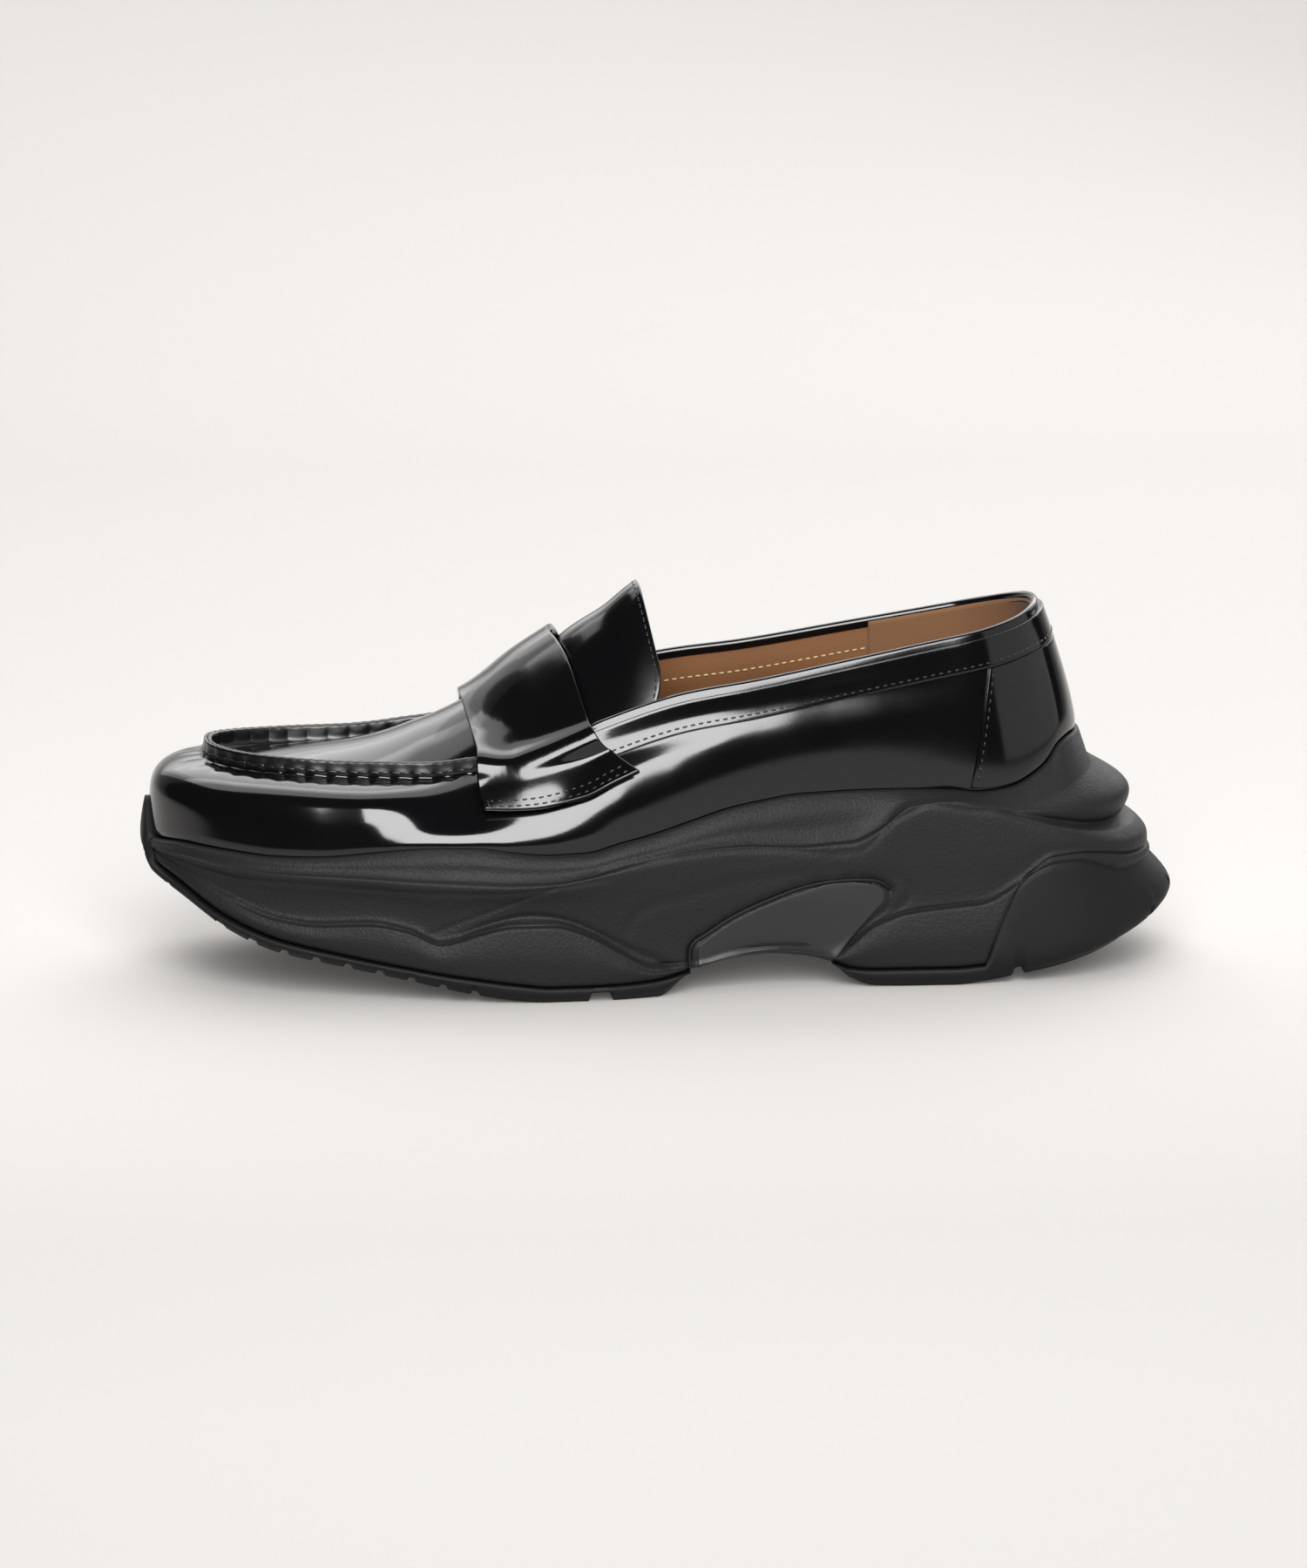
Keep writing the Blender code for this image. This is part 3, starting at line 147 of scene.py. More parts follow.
# Heights of the lines that run along the sole's side, as shares of the sole's side height
LINE_COLUMNS = ("station", "tread", "joint", "wave", "ridge", "notch", "rim")
LINE_ROWS = (
    (0.000, 0.560, 0.640, 0.656, 0.680, 0.700, 0.715),
    (0.035, 0.470, 0.548, 0.610, 0.685, 0.730, 0.750),
    (0.075, 0.348, 0.420, 0.515, 0.663, 0.715, 0.743),
    (0.125, 0.248, 0.318, 0.418, 0.647, 0.700, 0.730),
    (0.165, 0.205, 0.270, 0.392, 0.640, 0.697, 0.732),
    (0.215, 0.155, 0.218, 0.402, 0.630, 0.705, 0.758),
    (0.250, 0.118, 0.185, 0.370, 0.617, 0.710, 0.777),
    (0.280, 0.082, 0.155, 0.308, 0.607, 0.715, 0.785),
    (0.315, 0.045, 0.127, 0.358, 0.600, 0.712, 0.785),
    (0.350, 0.015, 0.100, 0.393, 0.594, 0.695, 0.760),
    (0.385, 0.000, 0.080, 0.393, 0.597, 0.685, 0.743),
    (0.420, 0.000, 0.080, 0.338, 0.622, 0.695, 0.748),
    (0.450, 0.000, 0.083, 0.247, 0.660, 0.730, 0.787),
    (0.485, 0.000, 0.093, 0.160, 0.695, 0.765, 0.830),
    (0.517, 0.110, 0.133, 0.170, 0.722, 0.805, 0.880),
    (0.560, 0.182, 0.182, 0.215, 0.732, 0.850, 0.945),
    (0.590, 0.193, 0.193, 0.226, 0.725, 0.865, 0.972),
    (0.625, 0.175, 0.175, 0.208, 0.715, 0.880, 0.996),
    (0.655, 0.120, 0.137, 0.180, 0.722, 0.890, 1.000),
    (0.672, 0.050, 0.105, 0.225, 0.728, 0.895, 1.003),
    (0.695, 0.008, 0.095, 0.320, 0.775, 0.900, 1.003),
    (0.730, 0.000, 0.095, 0.385, 0.915, 0.950, 1.000),
    (0.772, 0.000, 0.095, 0.410, 0.935, 0.960, 0.990),
    (0.797, 0.015, 0.105, 0.424, 0.905, 0.945, 0.977),
    (0.836, 0.048, 0.135, 0.530, 0.845, 0.920, 0.995),
    (0.870, 0.077, 0.165, 0.645, 0.800, 0.935, 1.045),
    (0.900, 0.110, 0.200, 0.655, 0.772, 0.960, 1.100),
    (0.930, 0.150, 0.240, 0.640, 0.748, 0.995, 1.180),
    (0.965, 0.205, 0.295, 0.610, 0.732, 1.025, 1.205),
    (1.000, 0.280, 0.370, 0.600, 0.732, 1.050, 1.205),
)

# How far out each line stands: 0 is the upper's outline and 1 the sole's outline
FLARE_COLUMNS = ("station", "tread", "side", "joint", "wave", "shelf", "waist", "ridge", "groove", "lobe",
                 "notch")
FLARE_ROWS = (
    (0.00, -0.90, 1.00, 0.15, 0.30, 0.20, 0.35, 0.55, 0.50, 0.50, 0.50),
    (0.06, 0.30, 1.00, 0.70, 0.80, 0.55, 0.60, 0.90, 0.70, 0.60, 0.55),
    (0.14, 0.55, 0.95, 0.80, 0.85, 0.50, 0.55, 0.95, 0.70, 0.55, 0.50),
    (0.30, 0.70, 0.98, 0.92, 0.90, 0.55, 0.60, 1.00, 0.72, 0.55, 0.50),
    (0.45, 0.65, 0.95, 0.90, 0.85, 0.60, 0.70, 0.90, 0.68, 0.50, 0.45),
    (0.52, 0.45, 0.80, 0.70, 0.72, 0.72, 0.80, 0.92, 0.66, 0.48, 0.42),
    (0.62, 0.45, 0.75, 0.60, 0.68, 0.76, 0.90, 0.94, 0.66, 0.46, 0.40),
    (0.70, 0.75, 0.98, 0.92, 0.92, 0.78, 0.84, 0.86, 0.60, 0.45, 0.35),
    (0.80, 0.80, 1.00, 0.95, 0.92, 0.76, 0.80, 0.78, 0.60, 0.50, 0.35),
    (0.88, 0.80, 1.00, 0.95, 0.84, 0.80, 0.80, 0.74, 0.56, 0.56, 0.34),
    (0.94, 0.78, 1.00, 0.92, 0.80, 0.80, 0.78, 0.68, 0.53, 0.57, 0.26),
    (1.00, 0.70, 1.00, 0.88, 0.76, 0.76, 0.74, 0.64, 0.52, 0.56, 0.16),
)

# Top edge of the rubber where it climbs round the heel, as shares of the side height
BUMPER_COLUMNS = ("station", "cover")
BUMPER_ROWS = (
    (0.796, 0.00),
    (0.808, 0.21),
    (0.821, 0.38),
    (0.835, 0.52),
    (0.850, 0.585),
    (0.872, 0.625),
    (0.897, 0.632),
    (0.925, 0.600),
    (0.955, 0.560),
    (1.000, 0.560),
)
TOE_BUMPER_REACH = 0.062
TOE_BUMPER_POWER = 1.5
TOE_LIP_LEAN = 1.4 * MM
TOE_EDGE_LEAN = 1.2
TOE_CREST_LEAN = 0.7
RIM_CLEARANCE_SHARE = 0.1
CREST_THICKNESS_SHARE = 0.8

# Middle of the tongue's outer face, as shares of the collar height
TONGUE_COLUMNS = ("station", "height")
TONGUE_ROWS = (
    (0.352, 0.735),
    (0.375, 0.795),
    (0.397, 0.872),
    (0.412, 0.917),
    (0.450, 0.985),
    (0.483, 1.058),
    (0.510, 1.090),
)

# The upper, by station along its own length: widths are shares of its width, heights of the collar height
UPPER_COLUMNS = ("station", "footbed", "belly_rise", "top_lateral", "top_medial", "inset_lateral",
                 "inset_medial", "crown")
UPPER_ROWS = (
    (0.00, 0.362, 0.024, 0.586, 0.586, 0.165, 0.165, 0.000),
    (0.06, 0.325, 0.018, 0.578, 0.580, 0.175, 0.168, 0.004),
    (0.13, 0.290, 0.014, 0.572, 0.576, 0.185, 0.168, 0.020),
    (0.20, 0.265, 0.012, 0.566, 0.576, 0.190, 0.170, 0.042),
    (0.28, 0.250, 0.010, 0.566, 0.588, 0.190, 0.165, 0.085),
    (0.34, 0.247, 0.010, 0.585, 0.608, 0.175, 0.150, 0.132),
    (0.41, 0.250, 0.024, 0.648, 0.672, 0.140, 0.125, 0.190),
    (0.49, 0.272, 0.036, 0.728, 0.748, 0.105, 0.100, 0.235),
    (0.57, 0.310, 0.040, 0.790, 0.802, 0.078, 0.075, 0.262),
    (0.65, 0.350, 0.042, 0.822, 0.828, 0.055, 0.055, 0.262),
    (0.76, 0.385, 0.034, 0.874, 0.874, 0.045, 0.045, 0.262),
    (0.86, 0.400, 0.036, 0.921, 0.918, 0.052, 0.052, 0.262),
    (0.93, 0.405, 0.034, 0.953, 0.950, 0.075, 0.075, 0.262),
    (1.00, 0.408, 0.022, 0.987, 0.987, 0.110, 0.110, 0.262),
)

# How the wall leans in: height above its widest line and inset, as shares of the seam's
SHOULDER_COLUMNS = ("rise", "vamp", "quarter")
SHOULDER_ROWS = (
    (0.00, 0.000, 0.000),
    (0.10, 0.033, 0.020),
    (0.20, 0.096, 0.053),
    (0.35, 0.228, 0.147),
    (0.50, 0.380, 0.305),
    (0.60, 0.490, 0.526),
    (0.70, 0.605, 0.747),
    (0.80, 0.720, 0.874),
    (0.90, 0.850, 0.937),
    (1.00, 1.000, 1.000),
)
HEEL_SHAPE_START = 0.70
HEEL_SHAPE_END = 0.92
HEEL_SLOPE_POWER = 1.25
TOE_ROUNDNESS = 5.5
TOE_LEAN = 0.14
TOE_LEAN_END = 0.08
TOE_START = 0.22
TOE_END = 0.34
VAMP_START = 0.42
VAMP_END = 0.50

# Where pieces start and stop, as stations along the sole
FRONT_OUTSOLE_END = 0.517
REAR_OUTSOLE_START = 0.655
THROAT = 0.385
STRAP_FRONT_TOP = 0.308
STRAP_FRONT_END = 0.323
STRAP_REAR_TOP = 0.400
STRAP_REAR_END = 0.471
STRAP_END_RISE = 9.5 * MM
STRAP_END_SLOPE = 58 * MM
STRAP_CORNER_OUT = 1 * MM
STRAP_CORNER_UP = 0.9 * MM
RIDGE_FADE_START = 0.305
RIDGE_FADE_END = 0.360
RIDGE_END = 0.352
COUNTER_LOOK_START = 0.803
BAND_LOOK_START = 0.405
BAND_STITCH_START = 0.432
LINING_STITCH_START = 0.450
TONGUE_START = 0.352
TONGUE_TIP = 0.483
TONGUE_SIDE_REACH = 0.026
TONGUE_CORNER = 0.026
TONGUE_CREST = 0.45
TONGUE_CORNER_START = 0.7
TONGUE_TIP_POWER = 1.5
TONGUE_EDGE_DROP = 6 * MM
TONGUE_CLEARANCE = 1 * MM
FLEX_STATION = 0.431
HEEL_OPEN_STATION = 0.834
TOE_GROOVES = (0.13, 0.19, 0.25, 0.31, 0.37, FLEX_STATION, 0.475)
HEEL_GROOVES = (0.71, 0.77, HEEL_OPEN_STATION, 0.89)
OPEN_GROOVES = (FLEX_STATION, HEEL_OPEN_STATION)

# Side view of the shank's cheek on the midsole, stations along the sole and shares of the side height
CHEEK_COLUMNS = ("station", "low", "high")
CHEEK_ROWS = (
    (0.525, 0.145, 0.255),
    (0.540, 0.165, 0.315),
    (0.562, 0.182, 0.385),
    (0.592, 0.193, 0.455),
    (0.625, 0.178, 0.512),
    (0.652, 0.150, 0.548),
    (0.672, 0.255, 0.552),
    (0.690, 0.365, 0.540),
    (0.704, 0.450, 0.510),
)

# Relief on the midsole's side: lines through points (station, share of the side height)
SIDE_LINES = {
    "second_wave": ((0.300, 0.345), (0.321, 0.395), (0.346, 0.432), (0.368, 0.443), (0.399, 0.413),
                    (0.428, 0.344), (0.462, 0.245), (0.495, 0.165)),
    "diagonal": ((0.262, 0.330), (0.281, 0.379), (0.332, 0.483), (0.388, 0.593)),
    "plate": ((0.517, 0.130), (0.518, 0.256), (0.536, 0.326), (0.560, 0.402), (0.592, 0.475), (0.628, 0.538),
              (0.664, 0.561), (0.696, 0.553), (0.711, 0.505)),
    "plate_end": ((0.711, 0.505), (0.709, 0.423), (0.694, 0.355), (0.676, 0.262), (0.660, 0.175)),
    "halo": ((0.458, 0.350), (0.462, 0.420), (0.480, 0.480), (0.520, 0.530), (0.574, 0.588), (0.620, 0.602),
             (0.660, 0.600), (0.710, 0.580), (0.729, 0.516), (0.725, 0.439), (0.703, 0.352), (0.685, 0.270)),
    "ridge": ((0.060, 0.640), (0.093, 0.613), (0.139, 0.612), (0.202, 0.591), (0.264, 0.572), (0.343, 0.571),
              (0.388, 0.593), (0.440, 0.633)),
    "rear_ridge": ((0.432, 0.660), (0.468, 0.700), (0.538, 0.742), (0.592, 0.739), (0.664, 0.706),
                   (0.688, 0.737), (0.710, 0.851), (0.735, 0.924), (0.752, 0.939), (0.788, 0.908),
                   (0.818, 0.894), (0.843, 0.849), (0.900, 0.790), (0.946, 0.775), (1.000, 0.772)),
}
# Columns: line, depth, half width
CREASE_ROWS = (
    ("second_wave", 0.7 * MM, 1.1 * MM),
    ("diagonal", 0.35 * MM, 0.5 * MM),
    ("plate", 2.2 * MM, 0.75 * MM),
    ("plate_end", 0.6 * MM, 0.8 * MM),
    ("halo", 0.35 * MM, 1.4 * MM),
    ("ridge", 0.35 * MM, 0.7 * MM),
    ("rear_ridge", 0.5 * MM, 0.6 * MM),
)
POD_BULGE = 1.3 * MM
POD_EDGE = 2.2 * MM
POD_DROP_SHARE = 0.4
WAVE_CREASE_DEPTH = 0.7 * MM
WAVE_CREASE_WIDTH = 0.45 * MM
WAVE_CREASE_START = (0.075, 0.10)
WAVE_CREASE_STOP = (0.50, 0.52)
WAVE_CREASE_RESTART = (0.62, 0.64)
HEEL_CREASE_START = (0.84, 0.89)
HEEL_CREASE_DEPTH = 1.1 * MM
HEEL_CREASE_WIDTH = 0.8 * MM
SEAT_CREASE_DEPTH = 0.8 * MM
SEAT_CREASE_WIDTH = 0.55 * MM
# A dark tube sunk in the crease along each plate's upper edge: painted shade for the shadowed gap there.
PLATE_LINE_RADIUS = 0.6 * MM
PLATE_LINE_DEPTH = 0.5 * MM
PLATE_LINE_SAMPLES = 10
PLATE_LINE_SIDES = 10
PLATE_LINE_TAPER = 4
PLATE_LINE_TIP = 0.05
SHANK_RISE = 0.1 * MM
SHANK_BEVEL = 0.4 * MM

# Fineness of the visual surfaces
MIDSOLE_COLUMNS = 840
MIDSOLE_SAMPLES = 10
MIDSOLE_ACROSS = 8
FINE_COLUMNS = 520
FINE_ACROSS = 36
LINE_SAMPLES = 8
LOWER_WALL_ROWS = 10
UPPER_WALL_ROWS = 30
UPPER_WALL_POWER = 1.8
SEAM_SAMPLES = 400
RIDGE_DENSITY = 3
RIDGE_SAMPLES = 2
COUNTER_ROWS = 14
BAND_ROWS = 8
INSOLE_ACROSS = 12
TONGUE_SECTIONS = 60
TONGUE_LENGTHS = 40
TONGUE_ACROSS = 60
SHANK_COLUMNS = 48
SHANK_ROWS = 12
SHANK_ACROSS = 8
GRID_LINE_POINTS = 60
STRAP_JOIN_POINTS = 8
COUNTER_LINE_POINTS = 30

# Small forms of the upper that only the looks have
BEAD_RADIUS = 1.3 * MM
VAMP_EDGE_RADIUS = 0.8 * MM
BEAD_ANGLES = np.linspace(150, 0, 9)
BEAD_WIDTH_SHARE = 0.9
BEAD_HEIGHT_SHARE = 1.1
BEAD_RETURN = 2 * MM
SEAM_PITCH = 6.5 * MM
PUCKER_DEPTH = 0.35 * MM
PUCKER_POWER = 0.7
PUCKER_START = 0.93
RIDGE_SETBACK = 0.3 * MM
RIDGE_PUCKER_DEPTH = 1.4 * PUCKER_DEPTH
RIDGE_PUCKER_LEVEL = 0.3
RIDGE_WAVE_DEPTH = 0.06 * MM
RIDGE_WAVE_LENGTH = MM / 2.1
RIDGE_WAVE_START = 0.8
PLUG_START_SHARE = 0.002
PLUG_INSET = 0.5 * MM
SLANT_PIVOT = 0.6
SLANT_FALL = 6
COVER_SINK = 0.3 * MM
COVER_BEVEL = 0.3 * MM
STRAP_BEVEL = 0.45 * MM
BEVEL_SEGMENTS = 3
BEVEL_ANGLE = 50
INSOLE_EDGE_SHARE = 0.6
INSOLE_TOP_INSET = 0.5 * MM
INSOLE_HOLLOW = 1.2 * MM
LINING_THICKNESS = 0.7 * MM
HEEL_GRIP_STATION = 0.715
HEEL_GRIP_THICKNESS = 0.6 * MM
BAND_LOOK_THICKNESS = 1.0 * MM
COUNTER_LOOK_THICKNESS = 0.9 * MM

# The strap: fineness, the hump over the seam and the tuck at its ends
STRAP_SAMPLES = 14
STRAP_ACROSS = 50
STRAP_SECTIONS = 25
STRAP_MIDDLE_SHARES = (0.25, 0.5, 0.75)
STRAP_FRONT_POWER = 1.2
STRAP_REAR_POWER = 1.3
HUMP_EASE = (0.8, 1.3)
HUMP_HEIGHT = 1.5 * MM
HUMP_WIDTH = 3.5 * MM
HUMP_ABOVE_SEAM = -4.5 * MM
STRAP_END_TUCK = 0.9 * MM
STRAP_END_REACH = 15 * MM
STRAP_END_POWER = 1.5
STRAP_CURL = (-2.5, 4.5)
STRAP_EDGE_LIFT = 2.2 * MM
STRAP_EDGE_SHARE = 0.35

# The tread's small forms
OUTSOLE_ACROSS = 72
OUTSOLE_DENSITY = 3
OUTSOLE_SAMPLES = 8
LUG_EDGE_ROWS = 11
LUG_EDGE_SLOPE = 3
LUG_EDGE_MARGIN = 0.2 * COVER_ROUND
GROOVE_SLOPE_SHARE = 0.25
GROOVE_REACH = 0.9
ZIGZAG_END = 0.8
SIPE_REACH = 0.72
NOTCH_REACH = 0.86
ZIGZAG_PITCH = 14 * MM
ZIGZAG_REACH = 4 * MM
SIPE_WIDTH = 1.8 * MM
SIPE_DEPTH = 1.2 * MM
LANE_SHARES = (0.36, 0.72)
NOTCH_PITCH = 9.5 * MM
NOTCH_WIDTH = 2.2 * MM
NOTCH_DEPTH = 1.2 * MM
NOTCH_END = 0.33

# Threads: pitch, length, radius and how far inside an edge a row runs
STITCH_PITCH = 2.5 * MM
STITCH_LENGTH = 1.9 * MM
STITCH_RADIUS = 0.30 * MM
STITCH_SECTIONS = 7
STITCH_SIDES = 8
STITCH_SINK = 0.9
STITCH_TIP = 0.02
STITCH_INSET = 2.1 * MM
STRAP_ROW_GAP = 3.3 * MM
BAND_STITCH_RISE = 1.5 * MM
COUNTER_STITCH_INSET = 1.7 * MM
TONGUE_STITCH_INSET = 1.6 * MM
COUNTER_LINE_SPAN = (0.06, 0.97)
TONGUE_STITCH_START = 0.3
LINING_STITCH_DROP = 8.5 * MM
LINING_STITCH_RISE = 0.05 * MM
SEAM_THREAD_RADIUS = 0.45 * MM
SEAM_THREAD_LENGTH = 0.8 * SEAM_PITCH
SEAM_THREAD_SPAN = (0.12, 0.88)
SEAM_THREAD_RISE = 0.42
SEAM_THREAD_INSET = 0.02
SEAM_THREAD_BOW = 0.25 * MM
SEAM_THREAD_END = 0.325
SEAM_THREAD_POINTS = 9
SEAM_THREAD_SAMPLES = 900

# The raised seam's cross-section, in shares of its width inward and of its height upward
# Columns: inward, up, share of the pucker
RIDGE_ROWS = (
    (0.10, -0.40, 0.0),
    (0.06, 0.05, 0.4),
    (0.02, 0.35, 1.0),
    (0.08, 0.62, 0.5),
    (0.10, 0.88, 0.1),
    (0.16, 0.99, 0.0),
    (0.30, 1.02, 0.0),
    (0.46, 0.99, 0.0),
    (0.52, 0.88, 0.0),
    (0.58, 0.99, 0.0),
    (0.74, 1.01, 0.0),
    (0.92, 0.97, 0.0),
    (1.00, 0.84, -0.2),
    (0.98, 0.52, -0.8),
    (1.02, 0.25, -0.5),
    (1.30, 0.02, 0.0),
    (1.55, -0.12, 0.0),
    (1.30, -0.40, 0.0),
)

# The photograph's view: degrees round the shoe and above the floor, and metres
VIEW_AZIMUTH = -5
VIEW_ELEVATION = 12
VIEW_DISTANCE = 1.8
VIEW_WIDTH = 0.405
VIEW_TARGET = (-0.00145, 0, 0.0553)
CLIP_START = 0.05

# The studio. A light's azimuth is counted from the shoe's lateral side, positive towards the heel.
FLOOR_COLOUR = (0.46, 0.446, 0.433)
FLOOR_GLOW = 0.16
FLOOR_SPECULAR = 0.2
FLOOR_ROUGHNESS = (0.85, 0.95)
FLOOR_NOISE_SCALE = 6
FLOOR_NOISE_DETAIL = 2
# The floor's tone from the front to the backdrop, which evens out the fall of the light
# Columns: y, level
FLOOR_TONE_ROWS = (
    (-0.60, 0.60),
    (-0.45, 0.67),
    (-0.30, 0.71),
    (-0.13, 0.84),
    (0.05, 0.95),
    (1.00, 0.90),
    (1.60, 1.02),
    (3.00, 1.33),
)
STUDIO_TARGET = (0, 0, 0.06)
# Columns: name, azimuth, elevation, distance, width, height, radiance, seen in mirrors
LIGHT_ROWS = (
    ("front_box", -3, 31, 1.5, 0.84, 0.96, 15.0, True),
    ("rear_box", 178, 42, 1.7, 1.5, 1.0, 1.1, True),
    ("rear_halo", 176, 41, 1.9, 2.2, 1.5, 1.0, True),
    ("rear_spill", 174, 40, 2.2, 3.4, 2.2, 1.0, True),
    ("rear_top", 178, 68, 1.9, 2.6, 1.1, 2.2, True),
    ("overhead", -15, 74, 1.7, 1.6, 1.6, 1.6, False),
    ("side_wall", 70, 22, 1.9, 2.4, 1.6, 0.7, True),
    ("heel_box", 140, 26, 1.6, 1.4, 0.8, 1.2, True),
)
WORLD_COLOUR = (1.0, 0.99, 0.98, 1)
WORLD_LEVEL = 0.03
FLOOR_HALF_WIDTH = 4
FLOOR_COLUMNS = 9
FLOOR_ROWS_Y = (-3, -1)
BACKDROP_Y = 1.2
BACKDROP_RADIUS = 1.5
BACKDROP_TURNS = range(6, 91, 6)
BACKDROP_TOP = 5

# Columns of a bump: scale of its noise, detail, roughness of the noise, strength, distance
POLISHED_BUMPS = ((45, 2, 0.55, 0.10, 0.4 * MM), (1400, 4, 0.6, 0.06, 0.08 * MM))
FOAM_BUMPS = ((260, 3, 0.55, 0.12, 0.2 * MM), (1100, 2, 0.5, 0.6, 0.3 * MM), (2600, 2, 0.55, 0.5, 0.15 * MM))
RUBBER_BUMPS = ((1200, 3, 0.55, 0.2, 0.12 * MM),)
PLASTIC_BUMPS = ((1800, 2, 0.55, 0.15, 0.1 * MM),)
THREAD_BUMPS = ((3000, 2, 0.55, 0.3, 0.1 * MM),)
GLOSS = {"IOR": 1.5}
DULL = {"IOR": 1.5, "Specular_IOR_Level": 0.2}
FOAM_SHEEN = {"IOR": 1.45, "Specular_IOR_Level": 0.2}
# Columns: name, colour, roughness, its least and most, scale of their noise, bumps, other sockets
MATERIAL_ROWS = (
    ("polished_leather", (0.0018, 0.0018, 0.0021), 0.1, (0.07, 0.15), 60, POLISHED_BUMPS, GLOSS),
    ("seam_leather", (0.0018, 0.0018, 0.0021), 0.1, (0.22, 0.38), 60, POLISHED_BUMPS, GLOSS),
    ("midsole_foam", (0.0108, 0.0106, 0.0110), 0.5, (0.42, 0.58), 120, FOAM_BUMPS, FOAM_SHEEN),
    ("outsole_rubber", (0.0048, 0.0048, 0.0052), 0.5, (0.5, 0.66), 90, RUBBER_BUMPS, DULL),
    ("shank_plastic", (0.008, 0.008, 0.0085), 0.45, (0.4, 0.52), 150, PLASTIC_BUMPS, GLOSS),
    ("black_thread", (0.004, 0.004, 0.004), 0.28, (0.18, 0.38), 700, THREAD_BUMPS, GLOSS),
    ("cream_thread", (0.42, 0.31, 0.19), 0.7, (0.6, 0.8), 700, THREAD_BUMPS, GLOSS),
)
# Name, colour and roughness of the leathers inside the shoe, and the noise and grain that they share
TAN_LINING = ("tan_lining", (0.165, 0.072, 0.027), 0.5)
HEEL_SUEDE = ("heel_suede", (0.150, 0.070, 0.030), 0.85)
TAN_DARKEST = 0.86
TAN_LIGHTEST = 1.12
TAN_TONE_SCALE = 40
TAN_TONE_DETAIL = 5
TAN_GRAIN_SCALE = 1100
TAN_GRAIN_STRENGTH = 0.25
TAN_GRAIN_DEPTH = 0.12 * MM


def hermite(t, start, start_slope, end, end_slope):
    return ((2 * t**3 - 3 * t**2 + 1) * start + (t**3 - 2 * t**2 + t) * start_slope
            + (3 * t**2 - 2 * t**3) * end + (t**3 - t**2) * end_slope)


def climb(x, start, stop):
    """Rises softly from 0 at start to 1 at stop."""
    t = np.clip((x - start) / (stop - start), 0, 1)
    return t * t * (3 - 2 * t)


def fade(x, start, stop):
    """Falls softly from 1 at start to 0 at stop."""
    return 1 - climb(x, start, stop)


def unit(vectors):
    return vectors / np.linalg.norm(vectors, axis=-1, keepdims=True)


def arc_along(points):
    """Distance from the first point along a line of points, or along each column of a grid."""
    steps = np.linalg.norm(np.diff(points, axis=0), axis=-1)
    return np.concatenate([np.zeros_like(steps[:1]), np.cumsum(steps, axis=0)])


def points_at(wanted, places, points):
    """Points at wanted places along a line whose points lie at the given places."""
    return np.stack([np.interp(wanted, places, points[:, k]) for k in range(3)], -1)


def smooth(rows, names, wanted):
    """A function through a table's column with no overshoot, so that flat stretches stay flat."""
    index = names.index(wanted)
    xs = np.array([row[0] for row in rows])
    ys = np.array([row[index] for row in rows], float)
    widths = np.diff(xs)
    slopes = np.diff(ys) / widths
    tangents = np.zeros_like(ys)
    for i in range(1, len(ys) - 1):
        if slopes[i - 1] * slopes[i] > 0:
            near = 2 * widths[i] + widths[i - 1]
            far = widths[i] + 2 * widths[i - 1]
            tangents[i] = (near + far) / (near / slopes[i - 1] + far / slopes[i])
    tangents[0] = slopes[0]
    tangents[-1] = slopes[-1]

    def value(x):
        x = np.clip(np.asarray(x, float), xs[0], xs[-1])
        i = np.clip(np.searchsorted(xs, x) - 1, 0, len(widths) - 1)
        t = (x - xs[i]) / widths[i]
        return hermite(t, ys[i], widths[i] * tangents[i], ys[i + 1], widths[i] * tangents[i + 1])

    return value


def round_share(distance, length, power):
    """Growth of a half width from 0 at a round end to 1 where the round stretch stops."""
    t = np.clip(1 - distance / length, 0, 1)
    return (1 - t**power) ** (1 / power)


HALF = {name: smooth(OUTLINE_ROWS, OUTLINE_COLUMNS, name) for name in OUTLINE_COLUMNS[1:]}
LINE = {name: smooth(LINE_ROWS, LINE_COLUMNS, name) for name in LINE_COLUMNS[1:]}
FLARE = {name: smooth(FLARE_ROWS, FLARE_COLUMNS, name) for name in FLARE_COLUMNS[1:]}
UPPER = {name: smooth(UPPER_ROWS, UPPER_COLUMNS, name) for name in UPPER_COLUMNS[1:]}
SHOULDER = {name: smooth(SHOULDER_ROWS, SHOULDER_COLUMNS, name) for name in SHOULDER_COLUMNS[1:]}
COVER = smooth(BUMPER_ROWS, BUMPER_COLUMNS, "cover")
TONGUE_LINE = smooth(TONGUE_ROWS, TONGUE_COLUMNS, "height")
CHEEK_LOW = smooth(CHEEK_ROWS, CHEEK_COLUMNS, "low")
CHEEK_HIGH = smooth(CHEEK_ROWS, CHEEK_COLUMNS, "high")

def station_x(station):
    return TOE_X + SHOE_LENGTH * station


def sole_half(side, x):
    share = np.where(side < 0, HALF["sole_lateral"]((x - TOE_X) / SHOE_LENGTH),
                     HALF["sole_medial"]((x - TOE_X) / SHOE_LENGTH))
    return (SOLE_WIDTH * share * round_share(x - TOE_X, SOLE_TOE_ROUND, SOLE_TOE_POWER)
            * round_share(HEEL_X - x, SOLE_HEEL_ROUND, SOLE_HEEL_POWER))


def upper_half(side, x):
    share = np.where(side < 0, HALF["upper_lateral"]((x - TOE_X) / SHOE_LENGTH),
                     HALF["upper_medial"]((x - TOE_X) / SHOE_LENGTH))
    return (UPPER_WIDTH * share * round_share(x - UPPER_TOE_X, UPPER_TOE_ROUND, UPPER_TOE_POWER)
            * round_share(UPPER_HEEL_X - x, UPPER_HEEL_ROUND, UPPER_HEEL_POWER))


